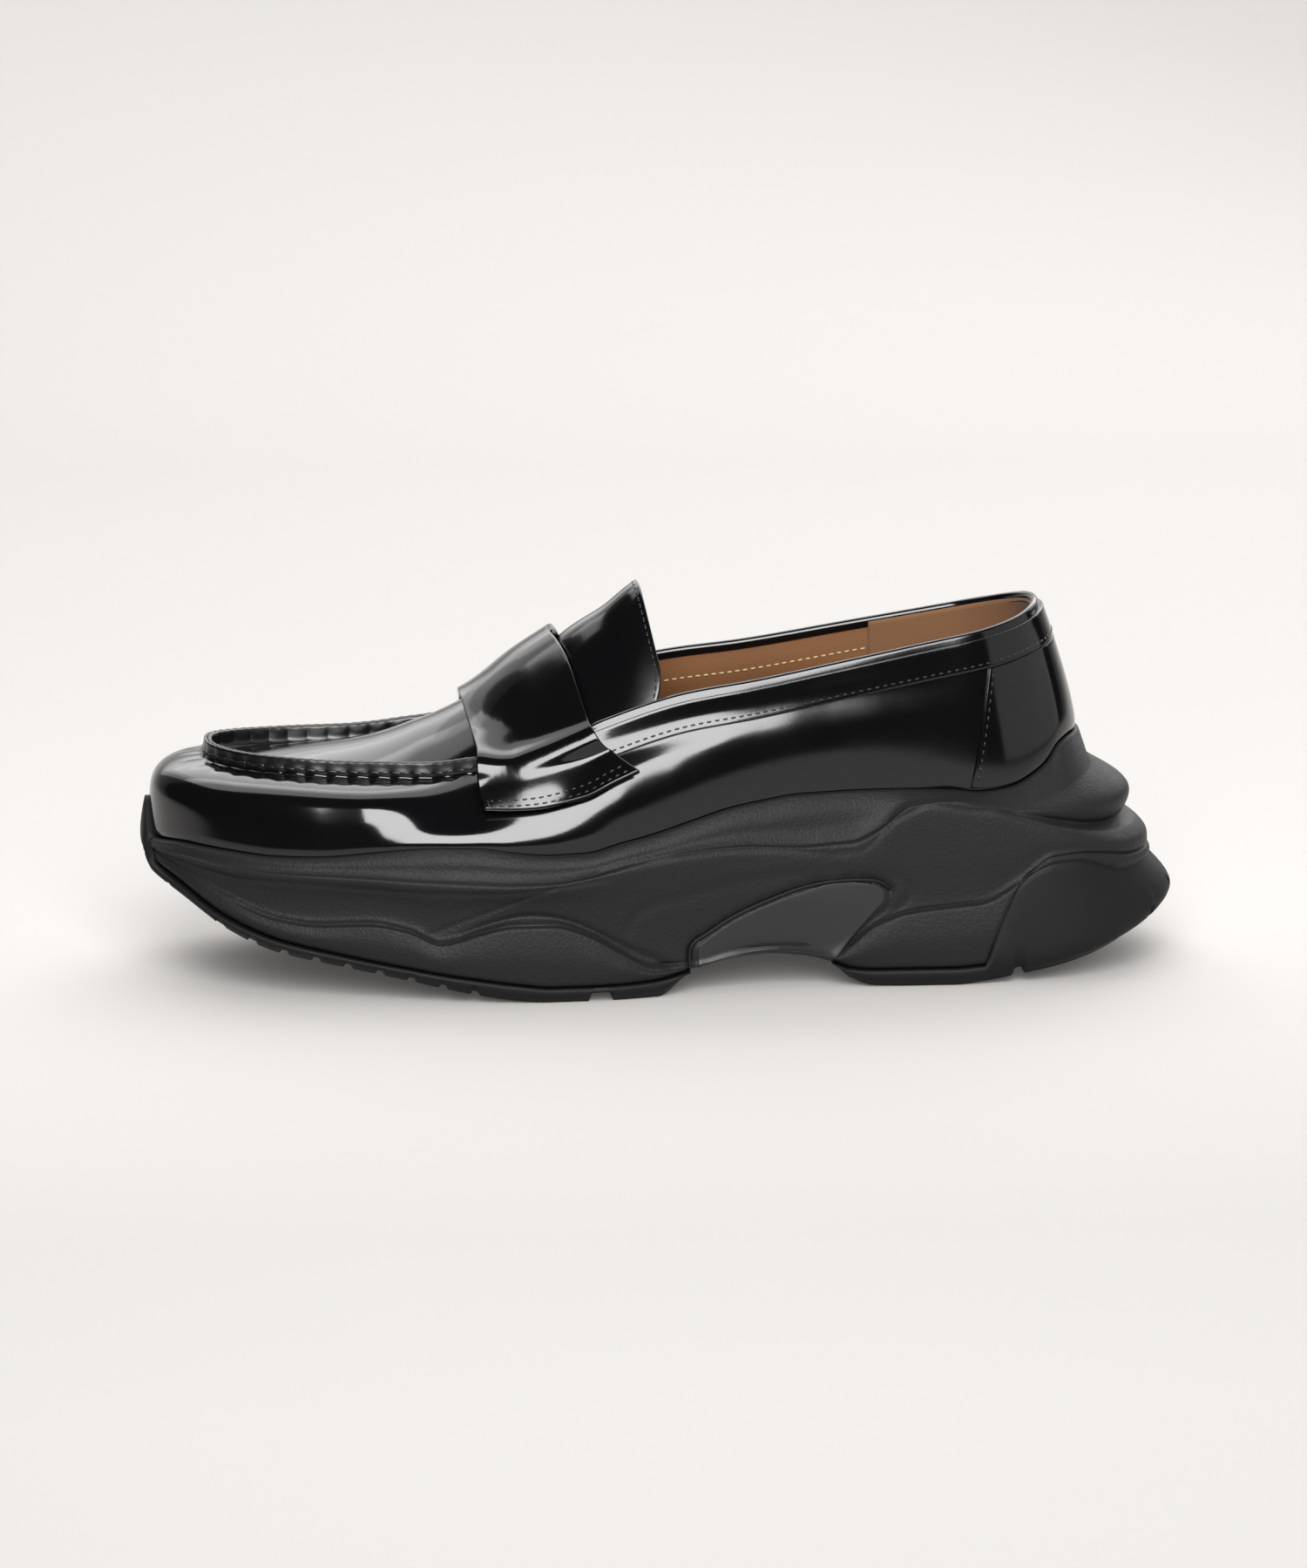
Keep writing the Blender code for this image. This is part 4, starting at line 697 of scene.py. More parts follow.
def paired_x(x):
    """The place along the upper that faces a place along the sole, fanned out round heel and toe."""
    heel_start = station_x(HEEL_FAN_START)
    toe_end = station_x(TOE_FAN_END)
    heel_run = HEEL_X - heel_start
    toe_run = toe_end - TOE_X
    at_heel = hermite(np.clip((x - heel_start) / heel_run, 0, 1), heel_start, heel_run,
                      UPPER_HEEL_X, heel_run * HEEL_FAN_SLOPE)
    at_toe = hermite(np.clip((toe_end - x) / toe_run, 0, 1), toe_end, -toe_run, UPPER_TOE_X, -toe_run)
    return np.where(x > heel_start, at_heel, np.where(x < toe_end, at_toe, x))


def arc_table(samples=2000):
    """Arc length along the sole's mean outline, against the angle that spaces points at its round ends."""
    angle = np.linspace(0, math.pi, samples)
    x = TOE_X + SHOE_LENGTH * (1 - np.cos(angle)) / 2
    half = (sole_half(-np.ones_like(x), x) + sole_half(np.ones_like(x), x)) / 2
    return angle, arc_along(np.stack([x, half], -1))


ANGLES, ARCS = arc_table()
HALF_GIRTH = ARCS[-1]


def wrap(w):
    return (np.asarray(w, float) + 1) % 2 - 1


def sole_x(w):
    angle = np.interp(np.abs(wrap(w)) * HALF_GIRTH, ARCS, ANGLES)
    return TOE_X + SHOE_LENGTH * (1 - np.cos(angle)) / 2


def share_at(station):
    """The ring share whose point on the sole's outline lies at a station."""
    angle = math.acos(1 - 2 * station)
    return float(np.interp(angle, ANGLES, ARCS) / HALF_GIRTH)


def swing(x):
    t = np.clip((station_x(SWING_END) - x) / (station_x(SWING_END) - TOE_X), 0, 1)
    return TOE_SWING * t * t


def sole_plan(w):
    x = sole_x(w)
    side = np.where(wrap(w) < 0, -1.0, 1.0)
    return np.stack([x, swing(x) + side * sole_half(side, x)], -1)


def upper_plan(w):
    x = paired_x(sole_x(w))
    side = np.where(wrap(w) < 0, -1.0, 1.0)
    return np.stack([x, swing(x) + side * upper_half(side, x)], -1)


def plan_normal(plan, w):
    """Unit normal of an outline that points out of the shoe."""
    along = plan(w + PROBE_SHARE) - plan(w - PROBE_SHARE)
    return unit(np.stack([-along[..., 1], along[..., 0]], -1))


def station_of(w):
    return (sole_x(w) - TOE_X) / SHOE_LENGTH


def upper_station(w):
    return (upper_plan(w)[..., 0] - UPPER_TOE_X) / UPPER_LENGTH


def line_height(name, w):
    return SOLE_SIDE_HEIGHT * LINE[name](station_of(w))


def sided(name, w):
    """A column of the upper's table that differs between the lateral and the medial side."""
    station = upper_station(w)
    return np.where(wrap(w) < 0, UPPER[name + "_lateral"](station), UPPER[name + "_medial"](station))


def footbed_height(w):
    return COLLAR_HEIGHT * UPPER["footbed"](upper_station(w))


def belly_height(w):
    return line_height("rim", w) + COLLAR_HEIGHT * UPPER["belly_rise"](upper_station(w))


def top_height(w):
    return COLLAR_HEIGHT * sided("top", w)


def top_inset(w):
    return UPPER_WIDTH * sided("inset", w)


def lower_inset(w, z):
    """Inset of the upper's wall below its widest line."""
    foot = footbed_height(w)
    t = np.clip((z - foot) / (belly_height(w) - foot), 0, 1)
    return FOOT_INSET * (1 - t) ** 2


def shoulder(w, t):
    """Inset and height of the upper's wall from its widest line (t = 0) to the seam or topline (t = 1)."""
    belly = belly_height(w)
    station = upper_station(w)
    toe = fade(station, TOE_START, TOE_END)
    rear = climb(station, VAMP_START, VAMP_END)
    lean = TOE_LEAN * climb(station, 0, TOE_LEAN_END)
    round_toe = lean * t + (1 - lean) * (1 - np.sqrt(np.maximum(0, 1 - t**TOE_ROUNDNESS)))
    heel = climb(station, HEEL_SHAPE_START, HEEL_SHAPE_END)
    middle = SHOULDER["vamp"](t) * (1 - toe - rear) + SHOULDER["quarter"](t) * (rear - heel)
    shape = round_toe * toe + middle + t**HEEL_SLOPE_POWER * heel
    return top_inset(w) * shape, belly + (top_height(w) - belly) * t


def upper_point(w, inset, z):
    place = upper_plan(w) - plan_normal(upper_plan, w) * np.asarray(inset)[..., None]
    return np.concatenate([place, (np.zeros_like(place[..., :1]) + np.asarray(z)[..., None])], -1)


def ridge_height(w):
    """Height of the raised seam round the plug, which sinks under the strap to the collar's rolled edge."""
    share = fade(station_of(w), RIDGE_FADE_START, RIDGE_FADE_END)
    return COLLAR_ROLL_HEIGHT + (SEAM_RIDGE_HEIGHT - COLLAR_ROLL_HEIGHT) * share


def ridge_width(w):
    share = fade(station_of(w), RIDGE_FADE_START, RIDGE_FADE_END)
    return UPPER_WALL + (SEAM_RIDGE_WIDTH - UPPER_WALL) * share


def crown(station):
    return COLLAR_HEIGHT * UPPER["crown"](station)


def toe_share(w):
    """1 at the toe tip, 0 where the toe bumper ends."""
    return fade(np.abs(wrap(w)), 0, TOE_BUMPER_REACH)


def cover_height(w):
    """Top edge of the outsole's rubber on the side of the sole."""
    station = station_of(w)
    joint = line_height("joint", w)
    heel = np.where(station > BUMPER_ROWS[0][0], SOLE_SIDE_HEIGHT * COVER(station), 0)
    toe = joint + (TOE_BUMPER_HEIGHT - joint) * toe_share(w) ** TOE_BUMPER_POWER
    return np.maximum(np.maximum(joint, heel), toe)


def covered_share(w):
    """0 where the rubber only lies under the sole, 1 where it also covers the sole's side."""
    return np.clip((cover_height(w) - line_height("joint", w) - COVER_STEP) / COVER_EASE, 0, 1)


def wall_point(w, flare, z):
    inner, outer = upper_plan(w), sole_plan(w)
    place = inner + (outer - inner) * np.asarray(flare)[..., None]
    return np.concatenate([place, np.asarray(z)[..., None] + np.zeros_like(place[..., :1])], -1)


def gap_width(w):
    return np.linalg.norm(sole_plan(w) - upper_plan(w), axis=-1)


def valley_height(w):
    """Height of the groove between the sole's ridge and its notch."""
    ridge, notch = line_height("ridge", w), line_height("notch", w)
    return ridge + np.minimum(GROOVE_RISE, GROOVE_SHARE * (notch - ridge))


def sole_lines(w):
    """Main rows (flare, height) of the midsole's side from its bottom edge to just under the rim."""
    flare = {name: line(station_of(w)) for name, line in FLARE.items()}
    joint, wave = line_height("joint", w), line_height("wave", w)
    ridge, notch = line_height("ridge", w), line_height("notch", w)
    shelf = wave + np.minimum(SHELF_RISE, SHELF_SHARE * (ridge - wave))
    valley = valley_height(w)
    bulge = POD_BULGE / gap_width(w)
    pod_drop = POD_EDGE * np.clip((wave - joint) / POD_EDGE, 0, POD_DROP_SHARE)
    return [
        (flare["joint"], joint),
        ((flare["joint"] + flare["wave"]) / 2 + bulge, (joint + wave) / 2),
        (flare["wave"] + bulge / 2, wave - pod_drop),
        (flare["wave"], wave + CREASE_RISE),
        (flare["shelf"], shelf + CREASE_RISE),
        (flare["waist"], (shelf + ridge) / 2),
        (flare["ridge"], ridge),
        (flare["groove"], valley),
        (flare["lobe"], (valley + notch) / 2),
        (flare["notch"], notch),
    ]


def line_distance(station, z, points):
    """Distance of places on the side from a smooth line through points of a table."""
    path = spline([(s * SHOE_LENGTH, h * SOLE_SIDE_HEIGHT) for s, h in points], LINE_SAMPLES)
    x = station * SHOE_LENGTH
    best = np.full(np.shape(x), SHOE_LENGTH)
    for (x0, z0), (x1, z1) in zip(path, path[1:]):
        length = (x1 - x0) ** 2 + (z1 - z0) ** 2
        t = np.clip(((x - x0) * (x1 - x0) + (z - z0) * (z1 - z0)) / length, 0, 1)
        best = np.minimum(best, np.hypot(x - x0 - t * (x1 - x0), z - z0 - t * (z1 - z0)))
    return best


def side_relief(w, z):
    """How far the midsole's side stands out from its main form."""
    station = station_of(w)
    relief = np.zeros_like(z)
    for name, depth, width in CREASE_ROWS:
        relief -= depth * np.exp(-(line_distance(station + 0 * z, z, SIDE_LINES[name]) / width) ** 2)
    wave = line_height("wave", w) + CREASE_RISE
    over_plate = climb(station, *WAVE_CREASE_STOP) * fade(station, *WAVE_CREASE_RESTART)
    shown = climb(station, *WAVE_CREASE_START) * (1 - over_plate)
    relief -= WAVE_CREASE_DEPTH * np.exp(-((z - wave) / WAVE_CREASE_WIDTH) ** 2) * shown
    at_heel = climb(station, *HEEL_CREASE_START)
    relief -= HEEL_CREASE_DEPTH * np.exp(-((z - valley_height(w)) / HEEL_CREASE_WIDTH) ** 2) * at_heel
    top = cover_height(w)
    relief -= SEAT_CREASE_DEPTH * np.exp(-((z - top) / SEAT_CREASE_WIDTH) ** 2)
    return relief - BUMPER_THICKNESS * np.clip((top - z) / COVER_EASE, 0, 1) * covered_share(w)


def side_surface(w, samples):
    """Dense rows of points on the midsole's side."""
    grid = spline([wall_point(w, flare, z) for flare, z in sole_lines(w)], samples)
    normal = plan_normal(sole_plan, w)
    grid[..., :2] += normal * side_relief(w, grid[..., 2])[..., None]
    return grid


def cup_rows(w):
    """The rim over the upper and the cup's inner wall down to the footbed."""
    foot, rim = footbed_height(w), line_height("rim", w)
    inner = lower_inset(w, rim)
    notch = FLARE["notch"](station_of(w)) * gap_width(w)
    return [
        upper_point(w, np.maximum(inner - GAP - LIP_WIDTH, RIM_SETBACK - notch), rim - RIM_FALL),
        upper_point(w, inner - GAP - RIM_ROUND, rim),
        upper_point(w, inner - GAP, rim - RIM_ROUND),
        upper_point(w, lower_inset(w, (foot + rim) / 2) - GAP, (foot + rim) / 2),
        upper_point(w, lower_inset(w, foot) - GAP, foot),
    ]


def outsole_rows(w):
    """Rows of an outsole from its tread edge out and up the side, over the edge and down to its seat."""
    station = station_of(w)
    tread, joint, rim = line_height("tread", w), line_height("joint", w), line_height("rim", w)
    top = cover_height(w) - GAP
    share = covered_share(w)
    seat = joint - GAP - SEAT_DROP * (1 - share)
    depth = BUMPER_THICKNESS / gap_width(w)
    inner = np.where(share > 0, FLARE["wave"](station), FLARE["joint"](station)) - depth
    above = top > rim - TOE_BUMPER_OVERLAP
    clear = (GAP - lower_inset(w, top)) / gap_width(w) + RIM_CLEARANCE_SHARE
    edge = np.where(above, np.maximum(inner, clear), inner)
    flush = (1 - share) * FLARE["side"](station) + share * FLARE["wave"](station)
    crest = np.where(above, np.maximum(flush, clear + CREST_THICKNESS_SHARE * depth), flush)
    lean = TOE_LIP_LEAN * toe_share(w) / gap_width(w)
    return [
        wall_point(w, FLARE["tread"](station), tread),
        wall_point(w, FLARE["side"](station), tread + np.minimum(0.5 * (top - tread), SIDE_ROUND_HEIGHT)),
        wall_point(w, crest - TOE_CREST_LEAN * lean, top - COVER_ROUND),
        wall_point(w, edge - TOE_EDGE_LEAN * lean, top),
        wall_point(w, inner, seat),
    ]


def wall_at(w, z):
    """Point and outward normal of the upper's side at a height."""

    def point(v, height):
        curve_inset, curve_z = shoulder(v[..., None], np.linspace(0, 1, PROBE_COUNT))
        above = np.array([np.interp(h, zs, insets) for h, zs, insets in zip(height, curve_z, curve_inset)])
        return upper_point(v, np.where(height > belly_height(v), above, lower_inset(v, height)), height)

    here = point(w, z)
    below = point(w, z - PROBE_RISE)
    along = point(w + PROBE_SHARE, z) - point(w - PROBE_SHARE, z)
    at_top = (z + PROBE_RISE > top_height(w))[..., None]
    up = np.where(at_top, here - below, point(w, z + PROBE_RISE) - below)
    return here, unit(-np.cross(along, up))


def upper_inner_edge(w, drop, clearance):
    """A point just inside the collar or the seam, a little below the upper's top."""
    place, normal = wall_at(w, top_height(w) - drop)
    return place - normal * (UPPER_WALL + clearance)


def spline(points, samples):
    """Catmull-Rom curve through points, with the given number of samples on each stretch."""
    points = np.asarray(points)
    ends = np.concatenate([[2 * points[0] - points[1]], points, [2 * points[-1] - points[-2]]])
    curve = []
    for p0, p1, p2, p3 in zip(ends, ends[1:], ends[2:], ends[3:]):
        for t in np.arange(samples) / samples:
            curve.append(0.5 * (2 * p1 + (p2 - p0) * t + (2 * p0 - 5 * p1 + 4 * p2 - p3) * t**2
                                + (3 * p1 - p0 - 3 * p2 + p3) * t**3))
    curve.append(points[-1])
    return np.array(curve)


def plug_top(station):
    """Height of the plug's middle at a station of the sole."""
    share = share_at(station)
    lateral, medial = np.array(-share), np.array(share)
    base = float(top_height(lateral) + top_height(medial)) / 2
    return base + float(crown(upper_station(medial)))


def strap_section(station, samples):
    """Path of the strap's inner face over the foot at a station, from its lateral to its medial end."""
    share = share_at(station)
    sides = []
    for w in (np.array([-share]), np.array([share])):
        end = line_height("rim", w) + STRAP_END_RISE + STRAP_END_SLOPE * (station - STRAP_FRONT_END)
        top = top_height(w)
        low, low_normal = wall_at(w, end)
        middle, middle_normal = wall_at(w, 0.5 * (end + top))
        corner = upper_point(w, top_inset(w) - STRAP_CORNER_OUT, top + ridge_height(w) + STRAP_CORNER_UP)
        seam = upper_point(w, top_inset(w), top)
        sides.append((low[0] + STRAP_STANDOFF * low_normal[0], middle[0] + STRAP_STANDOFF * middle_normal[0],
                      corner[0], seam[0]))
    (low, middle, corner, seam), (far_low, far_middle, far_corner, far_seam) = sides
    rise = plug_top(station) - (seam[2] + far_seam[2]) / 2
    lift = np.array([0, 0, STRAP_LIFT])
    over = [seam + (far_seam - seam) * t + np.array([0, 0, rise * (1 - (2 * t - 1) ** 2)]) + lift
            for t in STRAP_MIDDLE_SHARES]
    return spline([low, middle, corner, *over, far_corner, far_middle, far_low], samples)


def grid_normals(grid):
    across = np.gradient(grid, axis=0)
    along = np.gradient(grid, axis=1)
    return unit(np.cross(along, across))


def band_high(w):
    return top_height(w) - BAND_EDGE_DROP


def band_low(w):
    return band_high(w) - BAND_WIDTH


def counter_low(w):
    return line_height("rim", w) + COUNTER_RISE


def counter_high(w):
    return band_low(w) - GAP


def midsole_side(w, z):
    """Points of the midsole's outer side at a height."""
    lines = sole_lines(w)
    flares = np.array([line[0] for line in lines])
    heights = np.array([line[1] + np.zeros_like(w) for line in lines])
    flare = np.array([np.interp(z[i], heights[:, i], flares[:, i]) for i in range(len(w))])
    return wall_point(w, flare, z)


class Body:
    """Points and faces of one surface."""

    def __init__(self):
        self.points = []
        self.faces = []

    def add(self, points):
        start = len(self.points)
        self.points.extend(np.asarray(points, float).reshape(-1, 3))
        return list(range(start, len(self.points)))

    def strip(self, low, high, closed):
        count = len(low)
        for i in range(count if closed else count - 1):
            j = (i + 1) % count
            self.faces.append((low[i], low[j], high[j], high[i]))

    def skin(self, rows, closed):
        """A surface through rows of points; gives the rows' numbers back."""
        ids = [self.add(row) for row in rows]
        for low, high in zip(ids, ids[1:]):
            self.strip(low, high, closed)
        return ids

    def tube(self, sections):
        rings = self.skin(sections, True)
        self.faces += [tuple(rings[0]), tuple(rings[-1])]

    def span(self, ring, middle, pairs):
        """Closes a ring with chains across it; middle(i) gives the inner points of one."""
        half = len(ring) // 2
        chains = [[ring[i], *self.add(middle(i)), ring[len(ring) - i]] for i in pairs]
        for one, two in zip(chains, chains[1:]):
            self.strip(one, two, False)
        for tip, chain in ((ring[0], chains[0]), (ring[half], chains[-1])):
            for a, b in zip(chain, chain[1:]):
                self.faces.append((tip, a, b))

    def build(self, name, material, bevel=0.0):
        mesh = bpy.data.meshes.new(name)
        mesh.from_pydata([tuple(p) for p in self.points], [], self.faces)
        work = bmesh.new()
        work.from_mesh(mesh)
        bmesh.ops.recalc_face_normals(work, faces=work.faces)
        work.to_mesh(mesh)
        work.free()
        mesh.shade_smooth()
        mesh.materials.append(material)
        made = bpy.data.objects.new(name, mesh)
        bpy.context.scene.collection.objects.link(made)
        if bevel:
            rounding = made.modifiers.new("rounding", "BEVEL")
            rounding.width = bevel
            rounding.segments = BEVEL_SEGMENTS
            rounding.limit_method = "ANGLE"
            rounding.angle_limit = math.radians(BEVEL_ANGLE)
            rounding.harden_normals = False
        return made


def sheet(name, material, outer, inner, loop=False, bevel=0.0, cells=None):
    """A closed sheet from two grids of points; cells(row, column) says which squares are kept."""
    body = Body()
    rows, columns = len(outer), len(outer[0])
    sides = [body.add(outer), body.add(inner)]
    kept = [(r, c) for r in range(rows - 1) for c in range(columns if loop else columns - 1)
            if cells is None or cells(r, c)]
    edges = set()
    for r, c in kept:
        d = (c + 1) % columns
        square = (r * columns + c, r * columns + d, (r + 1) * columns + d, (r + 1) * columns + c)
        body.faces.append(tuple(sides[0][k] for k in square))
        body.faces.append(tuple(sides[1][k] for k in reversed(square)))
        edges.update(zip(square, square[1:] + square[:1]))
    for a, b in edges:
        if (b, a) not in edges:
            body.faces.append((sides[0][b], sides[0][a], sides[1][a], sides[1][b]))
    taken = sorted({k for face in body.faces for k in face})
    renamed = {k: i for i, k in enumerate(taken)}
    body.points = [body.points[k] for k in taken]
    body.faces = [tuple(renamed[k] for k in face) for face in body.faces]
    return body.build(name, material, bevel)


def chain_between(one, two, count, dip):
    """Points between two points, without the ends, with a dip in the middle."""
    t = (np.arange(1, count) / count)[:, None]
    points = one + (two - one) * t
    points[:, 2] += dip * 4 * (t * (1 - t))[:, 0]
    return points


def round_section(middle, radius, across, up, sides):
    """A ring of points round a middle."""
    turns = np.linspace(0, 2 * np.pi, sides, endpoint=False)
    return [middle + radius * (math.cos(t) * across + math.sin(t) * up) for t in turns]


def full_ring(columns):
    """Ring places from the toe along the lateral side to the heel and back along the medial side."""
    lateral = -np.linspace(0, 1, columns // 2 + 1)
    return np.concatenate([lateral, np.linspace(1, 0, columns // 2 + 1)[1:-1]])


def fine_run(station, round_heel, density=1):
    """Fine ring places between the two sides at a station, round the heel or round the toe."""
    share = share_at(station)
    last = share - 2 if round_heel else share
    halves = round(abs(last + share) * density * FINE_COLUMNS / 4)
    return wrap(np.linspace(-share, last, 2 * halves + 1))


def seam_arc(w):
    """Distance along the seam from the toe, signed by side."""
    grid = np.linspace(0, 1, SEAM_SAMPLES)
    out = np.zeros_like(w)
    for side in (-1, 1):
        path = upper_point(side * grid, top_inset(side * grid), top_height(side * grid))
        picked = wrap(w) < 0 if side < 0 else wrap(w) >= 0
        out = np.where(picked, side * np.interp(np.abs(wrap(w)), grid, arc_along(path)), out)
    return out


def pucker(w):
    """0 at each stitch of the raised seam and 1 halfway between two, fading out under the strap."""
    wave = np.abs(np.sin(np.pi * seam_arc(w) / SEAM_PITCH)) ** PUCKER_POWER
    return wave * fade(station_of(w), RIDGE_FADE_START, RIDGE_FADE_END)


def lower_wall(w, count):
    """Rows of the upper's outer wall from the feather edge up towards its widest line."""
    foot, belly = footbed_height(w) + GAP, belly_height(w)
    heights = [foot + (belly - foot) * k / LOWER_WALL_ROWS for k in range(count)]
    return [upper_point(w, lower_inset(w, z), z) for z in heights]


def make_upper(leather):
    w = full_ring(FINE_COLUMNS)
    lift = PUCKER_DEPTH * (pucker(w) - 0.5)
    rows = lower_wall(w, LOWER_WALL_ROWS + 1)
    for t in 1 - (1 - np.linspace(0, 1, UPPER_WALL_ROWS + 1)[1:]) ** UPPER_WALL_POWER:
        inset, z = shoulder(w, t)
        near_seam = np.clip((t - PUCKER_START) / (1 - PUCKER_START), 0, 1) ** 2
        rows.append(upper_point(w, inset - lift * near_seam, z + lift * near_seam))
    at_vamp = fade(station_of(w), RIDGE_FADE_START, RIDGE_FADE_END)
    radius = BEAD_RADIUS + (VAMP_EDGE_RADIUS - BEAD_RADIUS) * at_vamp
    inset, top = top_inset(w), top_height(w)
    for angle in np.radians(BEAD_ANGLES):
        rows.append(upper_point(w, inset - lift + radius * (1 + np.cos(angle)) * BEAD_WIDTH_SHARE,
                                top + lift + radius * np.sin(angle) * BEAD_HEIGHT_SHARE))
    rows.append(upper_point(w, inset + 2 * radius * BEAD_WIDTH_SHARE, top - BEAD_RETURN))
    body = Body()
    body.skin(rows, True)
    return body.build("upper_shell", leather)


def wall_grid(w):
    """The upper's outer wall in rows from the feather edge to the topline, without puckers."""
    rows = [upper_point(w, *shoulder(w, t)) for t in np.linspace(0, 1, UPPER_WALL_ROWS)]
    return np.array(lower_wall(w, LOWER_WALL_ROWS) + rows)


def lining_sheet(name, material, w, near, far, loop):
    """A sheet inside the upper between two depths below its outer face."""
    grid = wall_grid(w)
    along = np.roll(grid, -1, axis=1) - np.roll(grid, 1, axis=1) if loop else np.gradient(grid, axis=1)
    up = np.gradient(grid, axis=0)
    into = -unit(np.cross(along, up))
    return sheet(name, material, grid + into * far, grid + into * near, loop=loop)


def make_lining(tan):
    w = full_ring(FINE_COLUMNS)
    return lining_sheet("lining", tan, w, UPPER_WALL - LINING_THICKNESS, UPPER_WALL, True)


def make_heel_grip(suede):
    w = fine_run(HEEL_GRIP_STATION, True)
    return lining_sheet("heel_grip", suede, w, UPPER_WALL, UPPER_WALL + HEEL_GRIP_THICKNESS, False)


def make_ridge(leather):
    w = fine_run(RIDGE_END, False)
    w = np.linspace(w[0], w[-1], RIDGE_DENSITY * len(w))
    height, width = ridge_height(w), ridge_width(w)
    inset, top = top_inset(w), top_height(w)
    rows = []
    for inward, up, share in RIDGE_ROWS:
        bulge = RIDGE_PUCKER_DEPTH * share * (pucker(w) - RIDGE_PUCKER_LEVEL)
        waves = RIDGE_WAVE_DEPTH * np.sin(seam_arc(w) / RIDGE_WAVE_LENGTH) * (up > RIDGE_WAVE_START)
        rows.append(upper_point(w, inset + RIDGE_SETBACK + width * inward - bulge, top + height * up + waves))
    body = Body()
    rings = body.skin(spline(rows, RIDGE_SAMPLES), False)
    body.strip(rings[-1], rings[0], False)
    for end in (0, -1):
        body.faces.append(tuple(ring[end] for ring in rings))
    return body.build("raised_seam", leather)


def make_plug(leather):
    shares = np.linspace(PLUG_START_SHARE, share_at(THROAT), int(FINE_COLUMNS // 2 * share_at(THROAT)))
    inset = ridge_width(shares) + PLUG_INSET
    near = upper_point(-shares, top_inset(-shares) + inset, top_height(-shares))
    far = upper_point(shares, top_inset(shares) + inset, top_height(shares))
    t = np.linspace(0, 1, FINE_ACROSS + 1)[:, None, None]
    grid = near[None] + (far - near)[None] * t
    grid[..., 2] += crown(upper_station(shares))[None] * (1 - (2 * t[..., 0] - 1) ** 2)
    return sheet("plug", leather, grid, grid - (0, 0, UPPER_WALL))


def cover(name, material, w, low, high, thickness, rows, slant=0.0):
    """A leather overlay on the upper between two heights, whose front edges may slant."""
    outer, inner = [], []
    for share in np.arange(rows + 1) / rows:
        ends = slant * (share - SLANT_PIVOT) / HALF_GIRTH
        blend = np.clip(1 - np.linspace(0, 1, len(w)) * SLANT_FALL, 0, 1)
        shares = wrap(w - ends * blend + ends * blend[::-1])
        z = low(shares) + (high(shares) - low(shares)) * share
        place, normal = wall_at(shares, z)
        inner.append(place - normal * COVER_SINK)
        outer.append(place + normal * thickness)
    return sheet(name, material, outer, inner, bevel=COVER_BEVEL)


def make_counter(leather):
    w = fine_run(COUNTER_LOOK_START, True)
    return cover("rear_overlay", leather, w, counter_low, counter_high, COUNTER_LOOK_THICKNESS, COUNTER_ROWS,
                 COUNTER_SLANT)


def make_band(leather):
    w = fine_run(BAND_LOOK_START, True)
    return cover("collar_band", leather, w, band_low, band_high, BAND_LOOK_THICKNESS, BAND_ROWS)


def strap_grid():
    stations = np.linspace(STRAP_FRONT_TOP, STRAP_REAR_END, STRAP_SECTIONS)
    sections = np.array([strap_section(s, STRAP_SAMPLES) for s in stations])
    side = np.abs(np.linspace(-1, 1, sections.shape[1]))
    front = STRAP_FRONT_TOP + (STRAP_FRONT_END - STRAP_FRONT_TOP) * side**STRAP_FRONT_POWER
    rear = STRAP_REAR_TOP + (STRAP_REAR_END - STRAP_REAR_TOP) * side**STRAP_REAR_POWER
    return np.array([points_at(np.linspace(front[r], rear[r], STRAP_ACROSS + 1), stations, sections[:, r])
                     for r in range(len(side))])


def strap_surface():
    """The strap's inner face and its normals, with the hump where it lies over the raised seam."""
    grid = strap_grid()
    normal = grid_normals(grid)
    arc = arc_along(grid)
    corner = 2 * STRAP_SAMPLES
    across = np.linspace(0, 1, STRAP_ACROSS + 1)
    ease = np.linspace(*HUMP_EASE, STRAP_ACROSS + 1)
    edge = STRAP_EDGE_LIFT * np.exp(-across / STRAP_EDGE_SHARE)
    turn = np.linspace(*STRAP_CURL, STRAP_ACROSS + 1)
    for end, way in ((0, 1), (-1, -1)):
        seam = arc[corner if way > 0 else len(grid) - 1 - corner]
        above = way * (arc - seam) - HUMP_ABOVE_SEAM
        reach = way * (arc - arc[end]) / STRAP_END_REACH
        lift = HUMP_HEIGHT * np.exp(-(above / HUMP_WIDTH) ** 2) * ease
        curl = STRAP_END_TUCK * np.clip(1 - reach, 0, 1) ** STRAP_END_POWER * turn
        front = edge * np.clip(2 - reach, 0, 1)
        grid = grid + normal * (lift + curl + front)[..., None]
    return grid, grid_normals(grid)


def make_strap(leather):
    grid, normal = strap_surface()
    return sheet("saddle_strap", leather, grid + normal * STRAP_THICKNESS, grid, bevel=STRAP_BEVEL)


